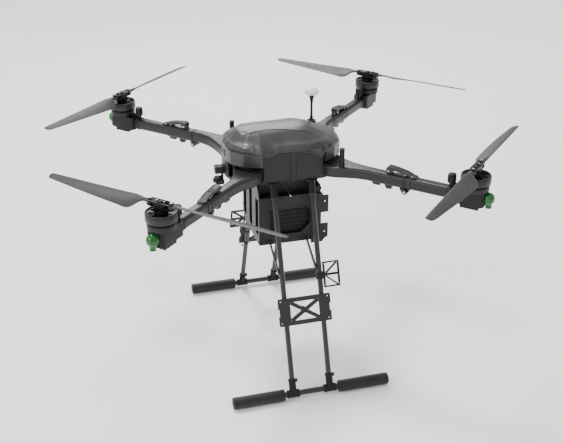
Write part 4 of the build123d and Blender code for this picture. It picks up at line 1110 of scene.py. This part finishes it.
def landing_gear():
    """Foam sleeves, tee and leg collars, brace clips, and their screws."""
    # foam sleeves: rounded ends, a slightly uneven surface, end bands, and a plug in the tube's end
    foam, bands, plugs = bmesh.new(), bmesh.new(), bmesh.new()
    for side in (-1, 1):
        for end in (-1, 1):
            at = facing((0, side * FOOT_Y, FOOT_Z), (0, 1, 0), (end, 0, 0))
            profile = [(9.2, 89.5), (16.6, 89.6), (18.3, 91), (18.8, 94)]
            for k in range(1, 20):
                x = 94 + (252 - 94) * k / 20
                profile.append((18.86 - 0.28 * sin(k * 2.1 + side + end) ** 2, x))
            profile += [(18.8, 252), (18.2, 255.4), (16.4, 257.2), (9.4, 257.6)]
            turned(foam, profile, at, 72, caps=False)
            for x in (98, 248):
                turned(bands, [(18.7, x - 2.4), (18.98, x - 2.2), (18.98, x + 2.2), (18.7, x + 2.4)], at,
                       72, caps=False)
            turned(plugs, [(9.6, 257.0), (9.6, 257.7), (6.2, 257.9), (5.4, 256.4), (0.01, 256.4)], at, 40)
    made = piece("foam_grips", foam, FOAM, "root", 0, 60)
    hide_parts("foot_sleeves")
    piece("foam_bands", bands, RUBBER, "root", 0.1)
    piece("foot_plugs", plugs, BLACK, "root", 0.2)

    # clamp collars on the tees and at the leg tops, with their screws
    collars, screws, sockets = bmesh.new(), bmesh.new(), bmesh.new()
    for x in (-LEG_X, LEG_X):
        for side in (-1, 1):
            at = leg_place(x, side, 0)
            turned(collars, [(12.0, 40), (12.9, 40.6), (12.9, 47), (12.0, 48.6), (8.6, 48.8)], at, 48,
                   caps=False)
            slab(collars, (11, 17.5), (-3.6, 3.6), (37, 47.6), at)
            place = at @ Matrix.Translation((14.4, 3.5, 42.4)) @ Matrix.Rotation(radians(-90), 4, "X")
            cap_screw(screws, place, 2.1, 1.6)
            foot = facing((x, side * FOOT_Y, FOOT_Z), (0, 1, 0), (1, 0, 0))
            for end in (-1, 1):
                collar = [(12.4, end * 13), (13.3, end * 13.6), (13.3, end * 19), (12.3, end * 20.1)]
                turned(collars, collar, foot, 48, caps=False)
            cap_screw(screws, facing((x, side * (FOOT_Y + 12.3), FOOT_Z), (1, 0, 0), (0, side, 0)), 2.3, 1.7)
            top = leg_place(x, side, 626)
            turned(sockets, [(12.1, -4), (12.9, -3.2), (12.9, 4), (12.1, 4.8)], top, 48, caps=False)
            turned(sockets, [(8.6, -22), (10.4, -21), (10.4, -12), (12.0, -10)], top, 48, caps=False)
            outward = Matrix.Rotation(radians(-90 * side), 4, "X")
            place = top @ Matrix.Translation((0, side * 12.6, 0)) @ outward
            cap_screw(screws, place, 2.2, 1.6)
    piece("tee_collars", collars, BLACK, "root", 0.4)
    piece("leg_top_collars", sockets, PLATE, "root", 0.3)
    piece("gear_screws", screws, DARK_STEEL, "root", 0.12)

    # brace plates: bolts at the corners, saddle clips round the legs, and a boss at the crossing
    clips, bolts = bmesh.new(), bmesh.new()
    for side in (-1, 1):
        for x in (-77, 77):
            for along in (230.6, 300.6):
                face = leg_place(x, side, along) @ Matrix.Rotation(radians(90 * side), 4, "X")
                cap_screw(bolts, face @ Matrix.Translation((0, 0, 12.4)), 2.6, 2.0)
                nut(bolts, face @ Matrix.Translation((0, 0, 8.6)) @ Matrix.Rotation(pi, 4, "X"), 3.0, 2.2)
        for x in (-LEG_X, LEG_X):
            for along in (236, 295):
                ring = [(10.4 * cos(a), 10.4 * sin(a)) for a in (2 * pi * i / 40 for i in range(40))]
                plate(clips, ring, -4, 4, leg_place(x, side, along), [circle(8.6, 40)])
        centre = leg_place(0, side, 265.6) @ Matrix.Rotation(radians(90 * side), 4, "X")
        turned(clips, [(8.4, 12.2), (8.4, 13.2), (7.4, 14), (3.2, 14), (3.0, 13), (0.01, 13)], centre, 40)
    piece("brace_clips", clips, SOFT_PLATE, "root", 0.4)
    piece("brace_bolts", bolts, DARK_STEEL, "root", 0.12)


landing_gear()


# ---- payload bay and battery ---------------------------------------------------------------------
BATTERY_TAIL = 94.0


def payload_bay():
    """Screws, edge strips and runners of the bay, the battery's ribs and trim, and the power connector."""
    side_face = (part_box("bay_frame")[1] / MM).y
    screws, strips, dark = bmesh.new(), bmesh.new(), bmesh.new()
    for side in (-1, 1):
        for x in (-92, -30, 34, 88):
            for z in (437, 586):
                cap_screw(screws, facing((x, side * side_face, z), (1, 0, 0), (0, side, 0)), 2.4, 1.7)
        # folded edge strips round the window and along the bay's corners
        frame_outline = [(-74, 458), (-74, 553), (56, 553), (66, 541), (66, 488), (34, 458)]
        hole = [(-70.5, 461.5), (-70.5, 549.5), (54.2, 549.5), (62.4, 539.6), (62.4, 489.6), (32.4, 461.5)]
        at = facing((0, 0, 0), (1, 0, 0), (0, -1, 0))
        low, high = (side_face - 0.3, side_face + 0.9) if side < 0 else (-side_face - 0.9, -side_face + 0.3)
        plate(strips, frame_outline, low, high, at, [hole])
        for x in (-101.5, 98.2):
            outer = side * side_face
            slab(strips, (x - 1.5, x + 1.5), (outer - 0.9, outer + 0.9), (430, 593), standing(0, 0, 0))
    piece("bay_screws", screws, DARK_STEEL, "root", 0.12)
    piece("bay_edges", strips, BAY, "root", 0.4)
    # front panel: screws
    bm = bmesh.new()
    for y, z in ((-106, 440), (-106, 585), (106, 480), (96, 636), (-56, 637), (20, 437)):
        cap_screw(bm, facing((-106.0, y, z), (0, 1, 0), (-1, 0, 0)), 2.6, 1.8)
    piece("front_panel_screws", bm, DARK_STEEL, "root", 0.12)
    # sliding runners under the battery
    for y in (-95, 95):
        slab(dark, (-100, 98), (y - 4, y + 4), (431.6, 432.2), standing(0, 0, 0))
    piece("bay_runners", dark, RUBBER, "root", 0)

    # battery: ribbed sides, end caps, latch and status window
    battery_side = (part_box("battery")[1] / MM).y
    bm, trim = bmesh.new(), bmesh.new()
    for side in (-1, 1):
        for k in range(9):
            rib = facing((0, side * (battery_side + 0.2), 448 + 14.5 * k), (1, 0, 0), (0, side, 0))
            plate(bm, rounded_box(150, 5.2, 2.4, -2, 0), -0.6, 1.1, rib)
    piece("battery_ribs", bm, CASE, "battery", 0.5)

    def on_tail(y, z):
        return facing((BATTERY_TAIL, y, z), (0, 1, 0), (1, 0, 0))

    plate(trim, rounded_box(30, 12, 3, 0, 0), 0, 1.0, on_tail(40, 560))
    for k in range(4):
        turned(trim, [(1.7, 1.0), (1.7, 1.6), (0.9, 2.0), (0.01, 2.0)], on_tail(31 + 6 * k, 560), 20)
    for y in (-70, 70):
        plate(trim, rounded_box(22, 40, 4), 0, 2.4, on_tail(y, 470))
    piece("battery_trim", trim, BLACK, "battery", 0.4)

    # power connector: threaded collar, cap rim and contacts
    ring, pins = bmesh.new(), bmesh.new()
    at = facing((86, -80, 611), (1, 0, 0), (0, -1, 0))
    profile = []
    for k in range(8):
        profile += [(13.0, 2 + 2.6 * k), (13.9, 3 + 2.6 * k), (13.9, 3.6 + 2.6 * k), (13.0, 4.6 + 2.6 * k)]
    turned(ring, profile, at, 56, caps=False)
    cap = [(10.0, 34), (11.4, 34.6), (11.4, 37.4), (10.2, 38), (8.6, 38), (8.6, 33), (0.01, 33)]
    turned(ring, cap, at, 56)
    for x, y in ((-3.6, 0), (3.6, 0)):
        pin_at = at @ Matrix.Translation((x, y, 0))
        turned(pins, [(1.8, 33), (1.8, 36.6), (1.2, 37.2), (0.01, 37.2)], pin_at, 20)
    piece("connector_collar", ring, BLACK, "root", 0.15)
    piece("connector_pins", pins, COPPER, "root", 0)


# ---- camera, mast and stub antennas --------------------------------------------------------------
CAMERA_X = -212
CAMERA_Z = 624
STUB_REACH = {"rl": 222.0, "fr": 200.0}


def sensors_and_camera():
    """The camera's lens and trunnions, the mast's collars and dome, and the stub antennas' rings."""
    lens_at = facing((CAMERA_X - 14, 0, CAMERA_Z), (0, 1, 0), (-1, 0, 0))
    glass, ring = bmesh.new(), bmesh.new()
    turned(glass, [(5.6, -1.4), (5.0, -0.5), (3.2, 0.1), (0.01, 0.3)], lens_at, 40)
    turned(ring, [(7.2, -4), (7.2, 0.2), (6.6, 0.7), (5.7, 0.7), (5.5, -1.4)], lens_at, 48, caps=False)
    for side in (-1, 1):
        turned(ring, [(8.4, 15.3), (8.4, 15.8), (6.6, 16.1), (4, 16.1), (3.8, 15.8), (0.01, 15.8)],
               facing((CAMERA_X, 0, CAMERA_Z), (1, 0, 0), (0, side, 0)), 40)
    piece("camera_lens", glass, GLASS, "camera", 0)
    piece("camera_rings", ring, CLAMP, "camera", 0.15)
    bm = bmesh.new()
    for side in (-1, 1):
        cap_screw(bm, facing((CAMERA_X, side * 21, CAMERA_Z), (1, 0, 0), (0, side, 0)), 3.0, 2.0)
        cap_screw(bm, facing((CAMERA_X, side * 8, 673), (1, 0, 0), (0, 0, 1)), 2.0, 1.4)
    piece("camera_screws", bm, DARK_STEEL, "root", 0.12)
    # mast: hinge collar, lock ring and the dome's seam
    bm = bmesh.new()
    turned(bm, [(9.1, 756), (9.6, 757), (9.6, 761), (9.1, 762), (7.0, 770)], MAST, 40, caps=False)
    turned(bm, [(4.1, 782), (5.6, 783), (5.6, 788), (4.9, 789.6), (4.1, 790)], MAST, 40, caps=False)
    flare = [(4.1, 838), (5.2, 840), (5.2, 845), (6.2, 851), (11.4, 861.6), (14.6, 862.8)]
    turned(bm, flare, MAST, 40, caps=False)
    piece("mast_collars", bm, BLACK, "root", 0.2)
    bm = bmesh.new()
    dome = [(0.01, 863.2), (16.5, 863.2), (18.6, 864.2), (21.6, 867.6), (22.6, 869.6), (22.6, 870.4),
            (22.2, 870.6), (22.2, 871.2), (22.8, 871.4), (22.95, 873)]
    for k in range(1, 12):
        turn = pi / 2 * k / 11
        dome.append((22.95 * cos(turn) + 0.01, 873 + 11.95 * sin(turn)))
    turned(bm, dome, MAST, 64)
    made = piece("gnss_cover", bm, PALE, "root", 0.2, 30)
    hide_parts("gnss_dome")
    # ribbed feet of the stub antennas
    bm = bmesh.new()
    for arm in ARMS:
        if arm.name in STUB_REACH:
            at = arm.level(STUB_REACH[arm.name], arm.end_side * -18, 0)
            for k in range(3):
                low = 700 + 4 * k
                ring = [(8.0, low), (8.9, low + 0.8), (8.9, low + 2.4), (8.0, low + 3.2)]
                turned(bm, ring, at, 40, caps=False)
            turned(bm, [(8.1, 754), (8.4, 755), (8.4, 757), (7.6, 760.4), (4, 760.9), (0.01, 760.95)], at, 40)
    piece("antenna_rings", bm, BLACK, "root", 0.2)


payload_bay()
sensors_and_camera()


# ---- studio --------------------------------------------------------------------------------------
def studio():
    """Pale floor, soft light from above and from the near left, and the camera."""
    bm = bmesh.new()
    plate(bm, circle(40000, 96), -6, -1, standing(0, 0, 0))
    floor_mesh = bpy.data.meshes.new("floor")
    bm.to_mesh(floor_mesh)
    bm.free()
    floor = bpy.data.objects.new("floor", floor_mesh)
    bpy.context.scene.collection.objects.link(floor)
    s = Surface("floor_paper", 0.9)
    s.colour(s.ramp(s.noise(400, 2), grey(0.93), grey(0.95)))
    floor_mesh.materials.append(s.material)

    world = bpy.data.worlds.new("studio")
    bpy.context.scene.world = world
    world.use_nodes = True
    world.node_tree.nodes["Background"].inputs[0].default_value = (1, 1, 1, 1)
    world.node_tree.nodes["Background"].inputs[1].default_value = 1.0
    sun = bpy.data.lights.new("key", "SUN")
    sun.energy = 2.6
    sun.angle = radians(14)
    key = bpy.data.objects.new("key", sun)
    key.location = (0, 0, 4)
    key.rotation_mode = "QUATERNION"
    key.rotation_quaternion = Vector((0.15, -0.45, -1.0)).to_track_quat("-Z", "Y")
    bpy.context.scene.collection.objects.link(key)
    for name, power, size, place, aim in (("left", 60, 1.6, (-3.0, -1.2, 2.4), (0, 0, 0.6)),
                                          ("back", 60, 1.6, (0.5, 3.4, 2.8), (0, 0, 0.6))):
        lamp = bpy.data.lights.new(name, "AREA")
        lamp.energy = power
        lamp.size = size
        obj = bpy.data.objects.new(name, lamp)
        obj.location = place
        obj.rotation_mode = "QUATERNION"
        obj.rotation_quaternion = (Vector(aim) - Vector(place)).to_track_quat("-Z", "Y")
        bpy.context.scene.collection.objects.link(obj)

    view = bpy.data.cameras.new("camera")
    view.sensor_width = 36
    view.lens = 58.07
    camera = bpy.data.objects.new("camera", view)
    camera.location = (-0.7105, -2.5988, 1.8097)
    camera.rotation_mode = "QUATERNION"
    camera.rotation_quaternion = Vector((0.2349, 0.8610, -0.4510)).to_track_quat("-Z", "Y")
    bpy.context.scene.collection.objects.link(camera)
    bpy.context.scene.camera = camera


studio()
